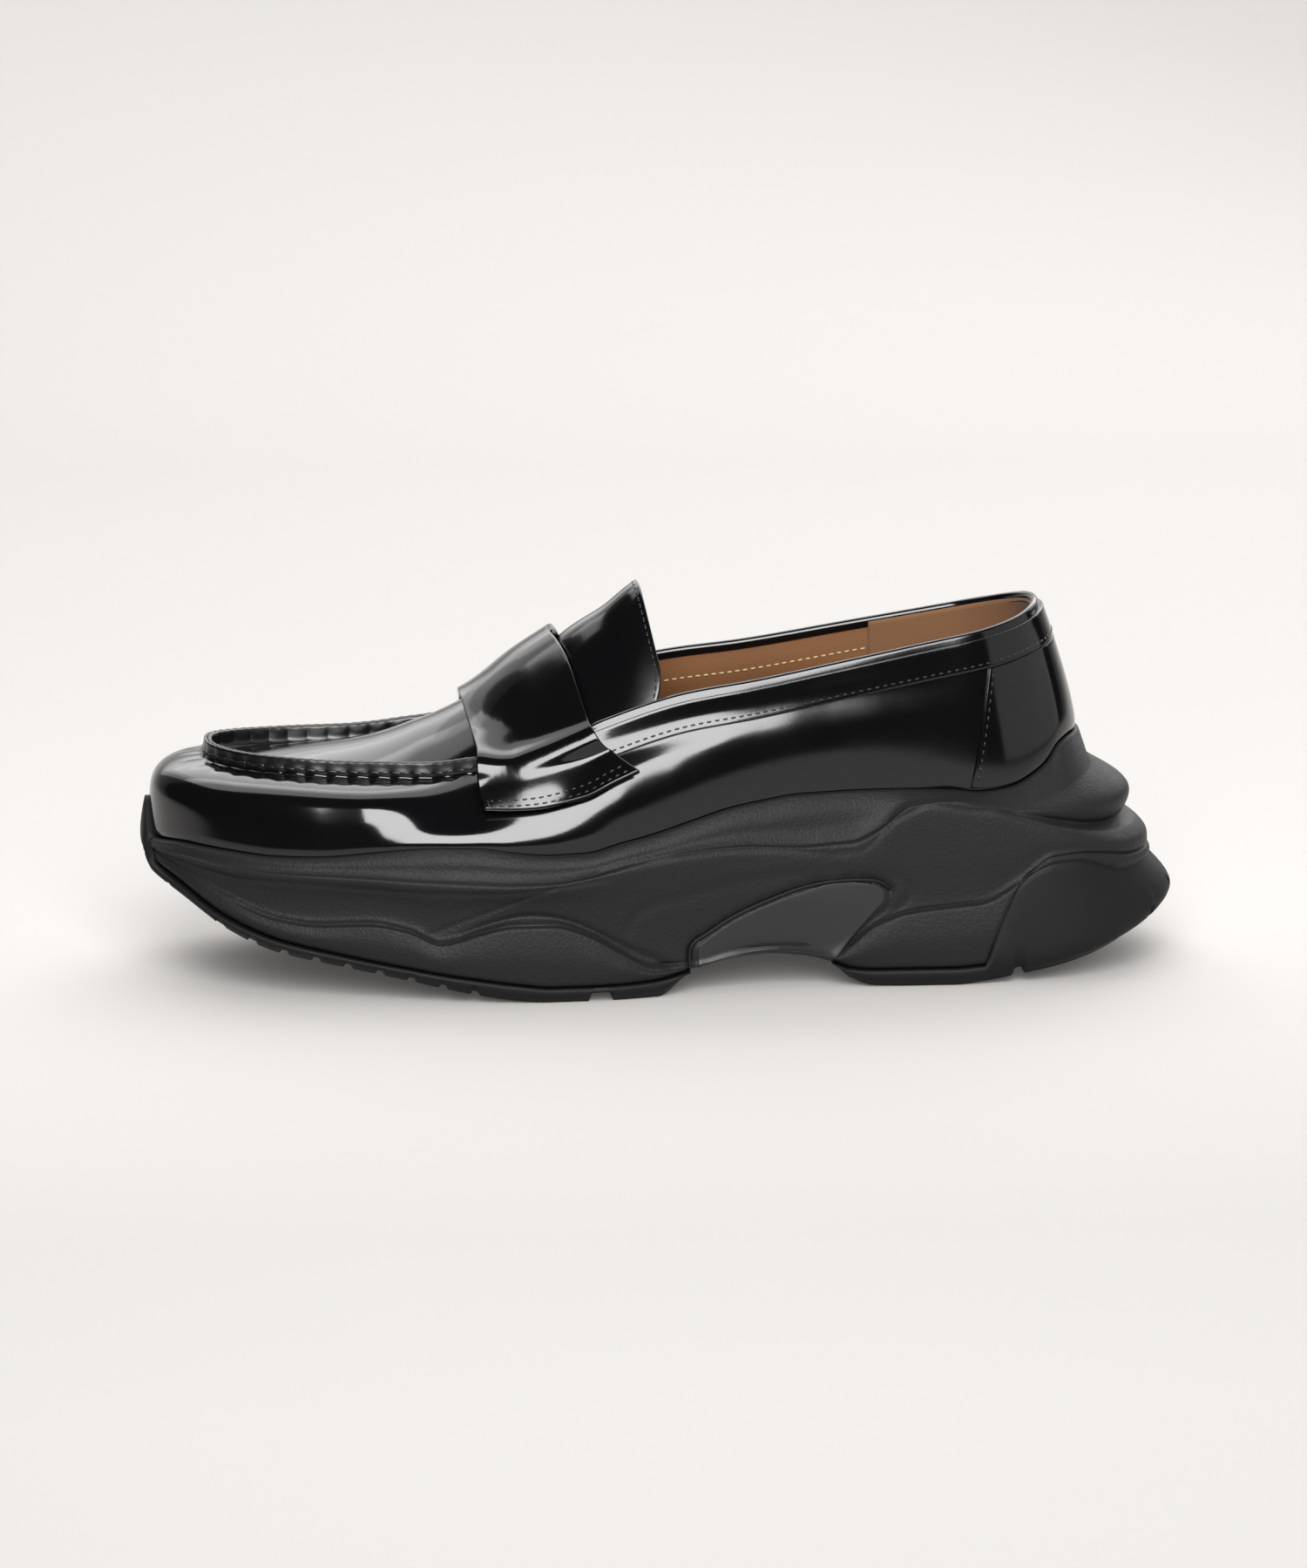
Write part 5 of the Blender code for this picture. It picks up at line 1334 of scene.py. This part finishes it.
def tongue_surface():
    """The tongue's outer face and its normals, from under the strap to the tip."""
    stations = np.linspace(TONGUE_START, TONGUE_TIP + TONGUE_SIDE_REACH, TONGUE_SECTIONS)
    shares = np.array([share_at(s) for s in stations])
    near = upper_inner_edge(-shares, TONGUE_EDGE_DROP, TONGUE_CLEARANCE)
    far = upper_inner_edge(shares, TONGUE_EDGE_DROP, TONGUE_CLEARANCE)
    grid = np.zeros((TONGUE_LENGTHS + 1, TONGUE_ACROSS + 1, 3))
    for c, v in enumerate(np.linspace(-1, 1, TONGUE_ACROSS + 1)):
        corner = (max(0, abs(v) - TONGUE_CORNER_START) / (1 - TONGUE_CORNER_START)) ** 2
        tip = TONGUE_TIP + TONGUE_SIDE_REACH * abs(v) ** TONGUE_TIP_POWER - TONGUE_CORNER * corner
        along = np.linspace(TONGUE_START, tip, TONGUE_LENGTHS + 1)
        one, two = points_at(along, stations, near), points_at(along, stations, far)
        fall = (math.hypot(v, TONGUE_CREST) - TONGUE_CREST) / (math.hypot(1, TONGUE_CREST) - TONGUE_CREST)
        grid[:, c] = one + (two - one) * (v + 1) / 2
        middle = COLLAR_HEIGHT * TONGUE_LINE(along)
        grid[:, c, 2] += (middle - (one[:, 2] + two[:, 2]) / 2) * (1 - fall)
    return grid, -grid_normals(grid)


def make_tongue(leather):
    grid, normal = tongue_surface()
    return sheet("tongue_panel", leather, grid, grid - normal * TONGUE_THICKNESS, bevel=STRAP_BEVEL)


def resample(points, pitch):
    """Even places along a line of points, each with a place just before and after, and their shares of it."""
    arc = arc_along(points)
    count = max(2, int(arc[-1] / pitch))
    wanted = (np.arange(count) + 0.5) * arc[-1] / count
    moves = (-PROBE_PITCH * pitch, 0, PROBE_PITCH * pitch)
    return [points_at(wanted + move, arc, points) for move in moves], wanted / arc[-1]


def stitch_row(name, thread, lines, pitch=STITCH_PITCH, length=STITCH_LENGTH, radius=STITCH_RADIUS):
    """One body of short threads along lines; each line is its points and their outward normals."""
    body = Body()
    for points, normals in lines:
        (before, places, after), shares = resample(points, pitch)
        ups = points_at(shares, np.linspace(0, 1, len(normals)), normals)
        for place, way, up in zip(places, unit(after - before), ups):
            up = unit(up - way * np.dot(up, way))
            across = np.cross(way, up)
            sections = []
            for s in np.linspace(-1, 1, STITCH_SECTIONS):
                middle = place + way * s * length / 2 - up * (STITCH_SINK * radius * s**2)
                size = radius * math.sqrt(max(STITCH_TIP, 1 - s**4))
                sections.append(round_section(middle, size, across, up, STITCH_SIDES))
            body.tube(sections)
    return body.build(name, thread)


def band_line(w, rise):
    place, normal = wall_at(w, band_low(w) + rise)
    return place + normal * BAND_LOOK_THICKNESS, normal


def counter_line(side):
    """The thread line behind the rear overlay's front edge on one side."""
    shares = np.linspace(*COUNTER_LINE_SPAN, COUNTER_LINE_POINTS)
    inset = COUNTER_STITCH_INSET + COUNTER_SLANT * (shares - SLANT_PIVOT)
    w = side * (share_at(COUNTER_LOOK_START) + inset / HALF_GIRTH)
    z = counter_low(w) + (counter_high(w) - counter_low(w)) * shares
    place, normal = wall_at(w, z)
    return place + normal * COUNTER_LOOK_THICKNESS, normal


def seam_threads(side):
    """Lines over the raised seam's outer face, one for each stitch hole."""
    w = side * np.linspace(PLUG_START_SHARE, share_at(SEAM_THREAD_END), SEAM_THREAD_SAMPLES)
    arc = np.abs(seam_arc(w))
    bend = np.linspace(-1, 1, SEAM_THREAD_POINTS)
    lines = []
    for k in range(int(arc[-1] / SEAM_PITCH)):
        v = np.interp((k + np.linspace(*SEAM_THREAD_SPAN, SEAM_THREAD_POINTS)) * SEAM_PITCH, arc, w)
        z = top_height(v) + SEAM_THREAD_RISE * ridge_height(v) - SEAM_THREAD_BOW * (1 - bend**2)
        place = upper_point(v, top_inset(v) + RIDGE_SETBACK + SEAM_THREAD_INSET * ridge_width(v), z)
        outside = upper_point(v, top_inset(v) - 1 * MM, z)
        lines.append((place, unit(outside - place)))
    return lines


def grid_line(grid, normal, lift, row_ends, column_ends, count=GRID_LINE_POINTS):
    """A line over a grid between two places, which are shares of its rows and columns."""
    rows = np.linspace(*np.clip(row_ends, 0, 1), count) * (len(grid) - 1)
    columns = np.linspace(*np.clip(column_ends, 0, 1), count) * (len(grid[0]) - 1)
    low_r, low_c = np.floor(rows).astype(int), np.floor(columns).astype(int)
    high_r, high_c = np.minimum(low_r + 1, len(grid) - 1), np.minimum(low_c + 1, len(grid[0]) - 1)
    a, b = (rows - low_r)[:, None], (columns - low_c)[:, None]

    def pick(values):
        return ((values[low_r, low_c] * (1 - a) + values[high_r, low_c] * a) * (1 - b)
                + (values[low_r, high_c] * (1 - a) + values[high_r, high_c] * a) * b)

    return pick(grid) + pick(normal) * lift, pick(normal)


def strap_threads():
    """Two rows of stitches across each end of the strap, joined by a short one."""
    grid, normal = strap_surface()
    girth = arc_along(grid[:, STRAP_ACROSS // 2])[-1]
    start = STITCH_INSET / arc_along(grid[0])[-1]
    lines = []
    for end in (0, 1):
        first = abs(end - STITCH_INSET / girth)
        second = abs(end - (STITCH_INSET + STRAP_ROW_GAP) / girth)
        for share in (first, second):
            lines.append(grid_line(grid, normal, STRAP_THICKNESS, (share, share), (start, 1 - start)))
        join = grid_line(grid, normal, STRAP_THICKNESS, (first, second), (start, start), STRAP_JOIN_POINTS)
        lines.append(join)
    return lines


def tongue_threads():
    """A row of stitches along the tongue's sides and tip."""
    grid, normal = tongue_surface()
    middle_row = grid[TONGUE_LENGTHS * 3 // 4]
    edge = TONGUE_STITCH_INSET / arc_along(middle_row)[-1]
    tip = 1 - TONGUE_STITCH_INSET / arc_along(grid[:, TONGUE_ACROSS // 2])[-1]
    return [
        grid_line(grid, normal, 0, (TONGUE_STITCH_START, tip), (edge, edge)),
        grid_line(grid, normal, 0, (tip, tip), (edge, 1 - edge)),
        grid_line(grid, normal, 0, (tip, TONGUE_STITCH_START), (1 - edge, 1 - edge)),
    ]


def lining_line(w, drop):
    place, normal = wall_at(w, top_height(w) - drop)
    return place - normal * (UPPER_WALL + LINING_STITCH_RISE), -normal


def make_threads(black):
    """The five bodies of black stitches."""
    collar = [band_line(fine_run(BAND_STITCH_START, True), BAND_STITCH_RISE)]
    seam = seam_threads(-1) + seam_threads(1)
    return (
        stitch_row("collar_stitches", black, collar),
        stitch_row("overlay_stitches", black, [counter_line(-1), counter_line(1)]),
        stitch_row("strap_stitches", black, strap_threads()),
        stitch_row("tongue_stitches", black, tongue_threads()),
        stitch_row("seam_stitches", black, seam, SEAM_PITCH, SEAM_THREAD_LENGTH, SEAM_THREAD_RADIUS),
    )


def make_lining_stitches(cream):
    line = lining_line(fine_run(LINING_STITCH_START, True), LINING_STITCH_DROP)
    return stitch_row("lining_stitches", cream, [line])


def make_insole(tan):
    w = full_ring(FINE_COLUMNS)
    low = footbed_height(w) + GAP
    side = np.full_like(w, FOOT_INSET + UPPER_WALL + GAP)
    rows = [upper_point(w, side + INSOLE_CHAMFER, low),
            upper_point(w, side, low + INSOLE_EDGE_SHARE * INSOLE_THICKNESS),
            upper_point(w, side + INSOLE_TOP_INSET, low + INSOLE_THICKNESS)]
    body = Body()
    rings = body.skin(rows, True)
    for row, ring in ((rows[0], rings[0]), (rows[-1], rings[-1])):
        body.span(ring, lambda i: chain_between(row[i], row[-i], INSOLE_ACROSS, -INSOLE_HOLLOW),
                  range(2, FINE_COLUMNS // 2 - 1))
    return body.build("insole_sock", tan)


def make_midsole(foam_material):
    w = full_ring(MIDSOLE_COLUMNS)
    rows = list(side_surface(w, MIDSOLE_SAMPLES)) + cup_rows(w)
    body = Body()
    rings = body.skin(rows, True)
    for row, ring in ((rows[0], rings[0]), (rows[-1], rings[-1])):
        body.span(ring, lambda i: chain_between(row[i], row[-i], MIDSOLE_ACROSS, 0),
                  range(1, MIDSOLE_COLUMNS // 2))
    return body.build("midsole_foam_body", foam_material)


def groove(distance, width, depth):
    """Depth of a groove with sloped sides, by the distance from its middle."""
    return depth * np.clip((width / 2 - np.abs(distance)) / (GROOVE_SLOPE_SHARE * width) + 0.5, 0, 1)


def tread_drop(x, y):
    """Depth of the tread's grooves and sipes at a place under the sole."""
    reach = np.abs(y - swing(x)) / np.maximum(sole_half(-1.0, x), 1 * MM)
    zigzag = ZIGZAG_REACH * (2 * np.abs((y / ZIGZAG_PITCH) % 1 - 0.5) - 0.5)
    drop = np.zeros_like(x)
    for places in (TOE_GROOVES, HEEL_GROOVES):
        for place in places:
            flex = place == FLEX_STATION
            depth, width = (FLEX_GROOVE_DEPTH, FLEX_GROOVE_WIDTH) if flex else (LUG_DEPTH, LUG_GROOVE_WIDTH)
            kept = (reach < GROOVE_REACH) | (place in OPEN_GROOVES)
            distance = x - station_x(place) + zigzag * (reach < ZIGZAG_END)
            drop = np.maximum(drop, groove(distance, width, depth) * kept)
        for one, two in zip(places, places[1:]):
            distance = x - station_x((one + two) / 2) + 2 * zigzag
            drop = np.maximum(drop, groove(distance, SIPE_WIDTH, SIPE_DEPTH) * (reach < SIPE_REACH))
    for lane in LANE_SHARES:
        drop = np.maximum(drop, groove((reach - lane) * SOLE_WIDTH / 2, SIPE_WIDTH, LUG_DEPTH))
    notch = groove((x - TOE_X) % NOTCH_PITCH - NOTCH_PITCH / 2, NOTCH_WIDTH, NOTCH_DEPTH)
    at_edge = (reach > NOTCH_REACH) & (x < station_x(NOTCH_END))
    return np.maximum(drop, notch * at_edge)


def make_outsole(name, material, station, at_toe):
    """One part of the outsole, with its lugs underneath."""
    w = fine_run(station, not at_toe, OUTSOLE_DENSITY)
    rows = outsole_rows(w)
    side = spline(rows[:4], OUTSOLE_SAMPLES)
    fall = np.clip(1 - np.arange(len(side)) / LUG_EDGE_ROWS, 0, 1)[:, None]
    side[..., 2] += tread_drop(rows[0][:, 0], rows[0][:, 1]) * np.minimum(1, LUG_EDGE_SLOPE * fall)
    highest = np.maximum(rows[3][:, 2] + LUG_EDGE_MARGIN, rows[0][:, 2])
    side[..., 2] = np.minimum(side[..., 2], highest)
    skin = list(side) + rows[4:]
    body = Body()
    ids = body.skin(skin, False)
    half = len(w) // 2
    ends = []
    for row, ring, lugs in ((rows[0], ids[0], True), (skin[-1], ids[-1], False)):
        spans = []
        for k in range(1, half + 1):
            line = chain_between(row[half - k], row[half + k], OUTSOLE_ACROSS, 0)
            if lugs:
                line[:, 2] += tread_drop(line[:, 0], line[:, 1])
            spans.append([ring[half - k], *body.add(line), ring[half + k]])
        for one, two in zip(spans, spans[1:]):
            body.strip(one, two, False)
        for a, b in zip(spans[0], spans[0][1:]):
            body.faces.append((ring[half], a, b))
        ends.append(spans[-1])
    under, over = ends
    near = [chain[0] for chain in ids[1:-1]]
    far = [chain[-1] for chain in ids[1:-1]]
    body.faces.append((*under[::-1], *near, *over, *far[::-1]))
    return body.build(name, material)


def make_plate_gap_shade(material):
    """A dark glossy tube sunk in the crease along each plate's upper edge, painted shade that stands in for
    the shadowed gap there.
    """
    path = spline(SIDE_LINES["plate"], PLATE_LINE_SAMPLES)
    shares = np.array([share_at(s) for s in path[:, 0]])
    from_end = np.minimum(np.arange(len(path)), np.arange(len(path))[::-1])
    radii = PLATE_LINE_RADIUS * np.sqrt(np.clip(from_end / PLATE_LINE_TAPER, PLATE_LINE_TIP, 1))
    body = Body()
    for w in (-shares, shares):
        out = np.concatenate([plan_normal(sole_plan, w), np.zeros((len(w), 1))], -1)
        middles = midsole_side(w, SOLE_SIDE_HEIGHT * path[:, 1]) - out * PLATE_LINE_DEPTH
        ups = np.cross(out, unit(np.gradient(middles, axis=0)))
        body.tube([round_section(*place, PLATE_LINE_SIDES) for place in zip(middles, radii, out, ups)])
    return body.build("plate_gap_shade_tubes", material)


def make_shank(plastic):
    """The plate's cheeks on both sides and the part that crosses under the arch."""
    stations = np.linspace(CHEEK_ROWS[0][0], CHEEK_ROWS[-1][0], SHANK_COLUMNS + 1)
    under = stations < REAR_OUTSOLE_START
    bare = int(np.sum(under)) - 1
    high = SOLE_SIDE_HEIGHT * CHEEK_HIGH(stations)
    joint = SOLE_SIDE_HEIGHT * LINE["joint"](stations)
    low = np.where(under, joint, np.maximum(SOLE_SIDE_HEIGHT * CHEEK_LOW(stations), joint))
    heights = [high + (low - high) * k / SHANK_ROWS for k in range(SHANK_ROWS + 1)]
    shares = np.array([share_at(s) for s in stations])
    near = [midsole_side(-shares, z) for z in heights]
    far = [midsole_side(shares, z) for z in heights[::-1]]
    crossing = [near[-1] + (far[0] - near[-1]) * k / SHANK_ACROSS for k in range(1, SHANK_ACROSS)]
    grid = np.array(near + crossing + far)
    into = np.zeros_like(grid)
    into[:SHANK_ROWS + 1, :, 1] = 1
    into[-SHANK_ROWS - 1:, :, 1] = -1
    into[SHANK_ROWS:SHANK_ROWS + SHANK_ACROSS + 1, :bare + 1, 2] = 1

    def kept(r, c):
        return c < bare or r < SHANK_ROWS or r >= SHANK_ROWS + SHANK_ACROSS

    return sheet("shank_cheeks", plastic, grid - into * SHANK_RISE, grid + into * SHANK_THICKNESS,
                 bevel=SHANK_BEVEL, cells=kept)


def new_material(name, colour, roughness, **sockets):
    """A Principled material with its plain numbers set on the shader itself."""
    material = bpy.data.materials.new(name)
    material.use_nodes = True
    shader = material.node_tree.nodes["Principled BSDF"]
    shader.inputs["Base Color"].default_value = (*colour, 1)
    shader.inputs["Roughness"].default_value = roughness
    for socket, value in sockets.items():
        shader.inputs[socket.replace("_", " ")].default_value = value
    place = add_node(material.node_tree, "ShaderNodeTexCoord").outputs["Object"]
    return material, material.node_tree, shader, place


def add_node(tree, kind, **settings):
    made = tree.nodes.new(kind)
    for key, value in settings.items():
        if hasattr(made, key):
            setattr(made, key, value)
        else:
            made.inputs[key.replace("_", " ")].default_value = value
    return made


def ramp(tree, source, low, high, from_low=0.0, from_high=1.0):
    """Maps a node's value to a range and returns the output."""
    mapped = add_node(tree, "ShaderNodeMapRange")
    mapped.inputs["From Min"].default_value = from_low
    mapped.inputs["From Max"].default_value = from_high
    mapped.inputs["To Min"].default_value = low
    mapped.inputs["To Max"].default_value = high
    tree.links.new(source, mapped.inputs["Value"])
    return mapped.outputs["Result"]


def noise(tree, place, scale, detail=4.0, roughness=0.55):
    made = add_node(tree, "ShaderNodeTexNoise", Scale=scale, Detail=detail, Roughness=roughness)
    tree.links.new(place, made.inputs["Vector"])
    return made.outputs["Fac"]


def cells(tree, place, scale):
    made = add_node(tree, "ShaderNodeTexVoronoi", Scale=scale)
    tree.links.new(place, made.inputs["Vector"])
    return made.outputs["Distance"]


def bump(tree, shader, height, strength, distance, before=None):
    made = add_node(tree, "ShaderNodeBump", Strength=strength, Distance=distance)
    tree.links.new(height, made.inputs["Height"])
    if before:
        tree.links.new(before, made.inputs["Normal"])
    tree.links.new(made.outputs["Normal"], shader.inputs["Normal"])
    return made.outputs["Normal"]


def grainy_material(name, colour, roughness, spread, scale, bumps, **sockets):
    """A material whose roughness varies with a noise, with bumps of several scales."""
    material, tree, shader, place = new_material(name, colour, roughness, **sockets)
    tree.links.new(ramp(tree, noise(tree, place, scale), *spread), shader.inputs["Roughness"])
    normal = None
    for bump_scale, detail, grain, strength, distance in bumps:
        normal = bump(tree, shader, noise(tree, place, bump_scale, detail, grain), strength, distance, normal)
    return material


def tan_leather(name, colour, roughness):
    material, tree, shader, place = new_material(name, colour, roughness, IOR=1.45, Sheen_Weight=0.1)
    mix = add_node(tree, "ShaderNodeMixRGB")
    mix.inputs["Color1"].default_value = (*[c * TAN_DARKEST for c in colour], 1)
    mix.inputs["Color2"].default_value = (*[c * TAN_LIGHTEST for c in colour], 1)
    tree.links.new(noise(tree, place, TAN_TONE_SCALE, TAN_TONE_DETAIL), mix.inputs["Fac"])
    tree.links.new(mix.outputs["Color"], shader.inputs["Base Color"])
    bump(tree, shader, cells(tree, place, TAN_GRAIN_SCALE), TAN_GRAIN_STRENGTH, TAN_GRAIN_DEPTH)
    return material


def plain_floor():
    material, tree, shader, place = new_material("studio_floor", FLOOR_COLOUR, sum(FLOOR_ROUGHNESS) / 2,
                                                 Emission_Strength=FLOOR_GLOW,
                                                 Specular_IOR_Level=FLOOR_SPECULAR)
    parts = add_node(tree, "ShaderNodeSeparateXYZ")
    tree.links.new(place, parts.inputs[0])
    near, far = FLOOR_TONE_ROWS[0][0], FLOOR_TONE_ROWS[-1][0]
    tone = add_node(tree, "ShaderNodeValToRGB")
    stops = tone.color_ramp.elements
    while len(stops) < len(FLOOR_TONE_ROWS):
        stops.new(0.5)
    for stop, (y, level) in zip(stops, FLOOR_TONE_ROWS):
        stop.position = (y - near) / (far - near)
        stop.color = (*[c * level for c in FLOOR_COLOUR], 1)
    tree.links.new(ramp(tree, parts.outputs["Y"], 0, 1, near, far), tone.inputs["Fac"])
    tree.links.new(tone.outputs["Color"], shader.inputs["Base Color"])
    tree.links.new(tone.outputs["Color"], shader.inputs["Emission Color"])
    grain = noise(tree, place, FLOOR_NOISE_SCALE, FLOOR_NOISE_DETAIL)
    tree.links.new(ramp(tree, grain, *FLOOR_ROUGHNESS), shader.inputs["Roughness"])
    return material


def around(azimuth, elevation, distance, target):
    """A place at an azimuth from the lateral side, an elevation and a distance from a target."""
    turn, rise = math.radians(azimuth), math.radians(elevation)
    way = Vector((math.sin(turn) * math.cos(rise), -math.cos(turn) * math.cos(rise), math.sin(rise)))
    return Vector(target) + way * distance


def make_camera():
    data = bpy.data.cameras.new("camera")
    data.sensor_fit = "HORIZONTAL"
    data.angle_x = 2 * math.atan(VIEW_WIDTH / 2 / VIEW_DISTANCE)
    data.clip_start = CLIP_START
    made = bpy.data.objects.new("camera", data)
    made.location = around(VIEW_AZIMUTH, VIEW_ELEVATION, VIEW_DISTANCE, VIEW_TARGET)
    made.rotation_euler = (Vector(VIEW_TARGET) - made.location).to_track_quat("-Z", "Y").to_euler()
    bpy.context.scene.collection.objects.link(made)
    bpy.context.scene.camera = made


def make_light(name, azimuth, elevation, distance, width, height, radiance, mirrored):
    data = bpy.data.lights.new(name, "AREA")
    data.shape = "RECTANGLE"
    data.size, data.size_y = width, height
    data.energy = radiance * math.pi * width * height
    made = bpy.data.objects.new(name, data)
    made.visible_glossy = mirrored
    made.location = around(azimuth, elevation, distance, STUDIO_TARGET)
    made.rotation_euler = (Vector(STUDIO_TARGET) - made.location).to_track_quat("-Z", "Y").to_euler()
    bpy.context.scene.collection.objects.link(made)


def make_studio(material):
    """A pale floor that curves up into a backdrop, soft lights and a dark room in front."""
    rows = [(y, 0) for y in (*FLOOR_ROWS_Y, BACKDROP_Y)]
    for turn in np.radians(BACKDROP_TURNS):
        rows.append((BACKDROP_Y + BACKDROP_RADIUS * math.sin(turn), BACKDROP_RADIUS * (1 - math.cos(turn))))
    rows.append((BACKDROP_Y + BACKDROP_RADIUS, BACKDROP_TOP))
    across = np.linspace(-FLOOR_HALF_WIDTH, FLOOR_HALF_WIDTH, FLOOR_COLUMNS)
    body = Body()
    body.skin([[(x, y, z) for x in across] for y, z in rows], False)
    floor = body.build("floor", material)
    world = bpy.context.scene.world or bpy.data.worlds.new("world")
    bpy.context.scene.world = world
    world.use_nodes = True
    background = world.node_tree.nodes["Background"]
    background.inputs["Color"].default_value = WORLD_COLOUR
    background.inputs["Strength"].default_value = WORLD_LEVEL
    for row in LIGHT_ROWS:
        make_light(*row)
    view = bpy.context.scene.view_settings
    view.view_transform = "Standard"
    view.look = "None"


def main():
    leather, seam_leather, foam, rubber, plastic, black, cream = (
        grainy_material(*row[:-1], **row[-1]) for row in MATERIAL_ROWS)
    tan, suede = tan_leather(*TAN_LINING), tan_leather(*HEEL_SUEDE)
    pieces = [
        (make_upper(leather), "polished_leather", ("upper",)),
        (make_ridge(seam_leather), "polished_leather", ()),
        (make_plug(leather), "polished_leather", ()),
        (make_lining(tan), "tan_lining", ()),
        (make_heel_grip(suede), "tan_lining", ()),
        (make_insole(tan), "tan_lining", ("insole",)),
        (make_strap(leather), "polished_leather", ("strap",)),
        (make_tongue(leather), "polished_leather", ("tongue",)),
        (make_counter(leather), "polished_leather", ("heel_counter",)),
        (make_band(leather), "polished_leather", ("topline_band",)),
        (make_midsole(foam), "midsole_foam", ("midsole",)),
        (make_outsole("forefoot_rubber", rubber, FRONT_OUTSOLE_END, True), "outsole_rubber",
         ("outsole_front",)),
        (make_outsole("heel_rubber", rubber, REAR_OUTSOLE_START, False), "outsole_rubber",
         ("outsole_heel",)),
        (make_shank(plastic), "shank_plastic", ("shank_plate",)),
        (make_plate_gap_shade(rubber), "outsole_rubber", ()),
    ]
    pieces += [(piece, "polished_leather", ()) for piece in make_threads(black)]
    pieces.append((make_lining_stitches(cream), "tan_lining", ()))
    for piece, slot, nodes in pieces:
        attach(piece, "root")
        if nodes:
            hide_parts(*nodes)
    make_studio(plain_floor())
    make_camera()


main()
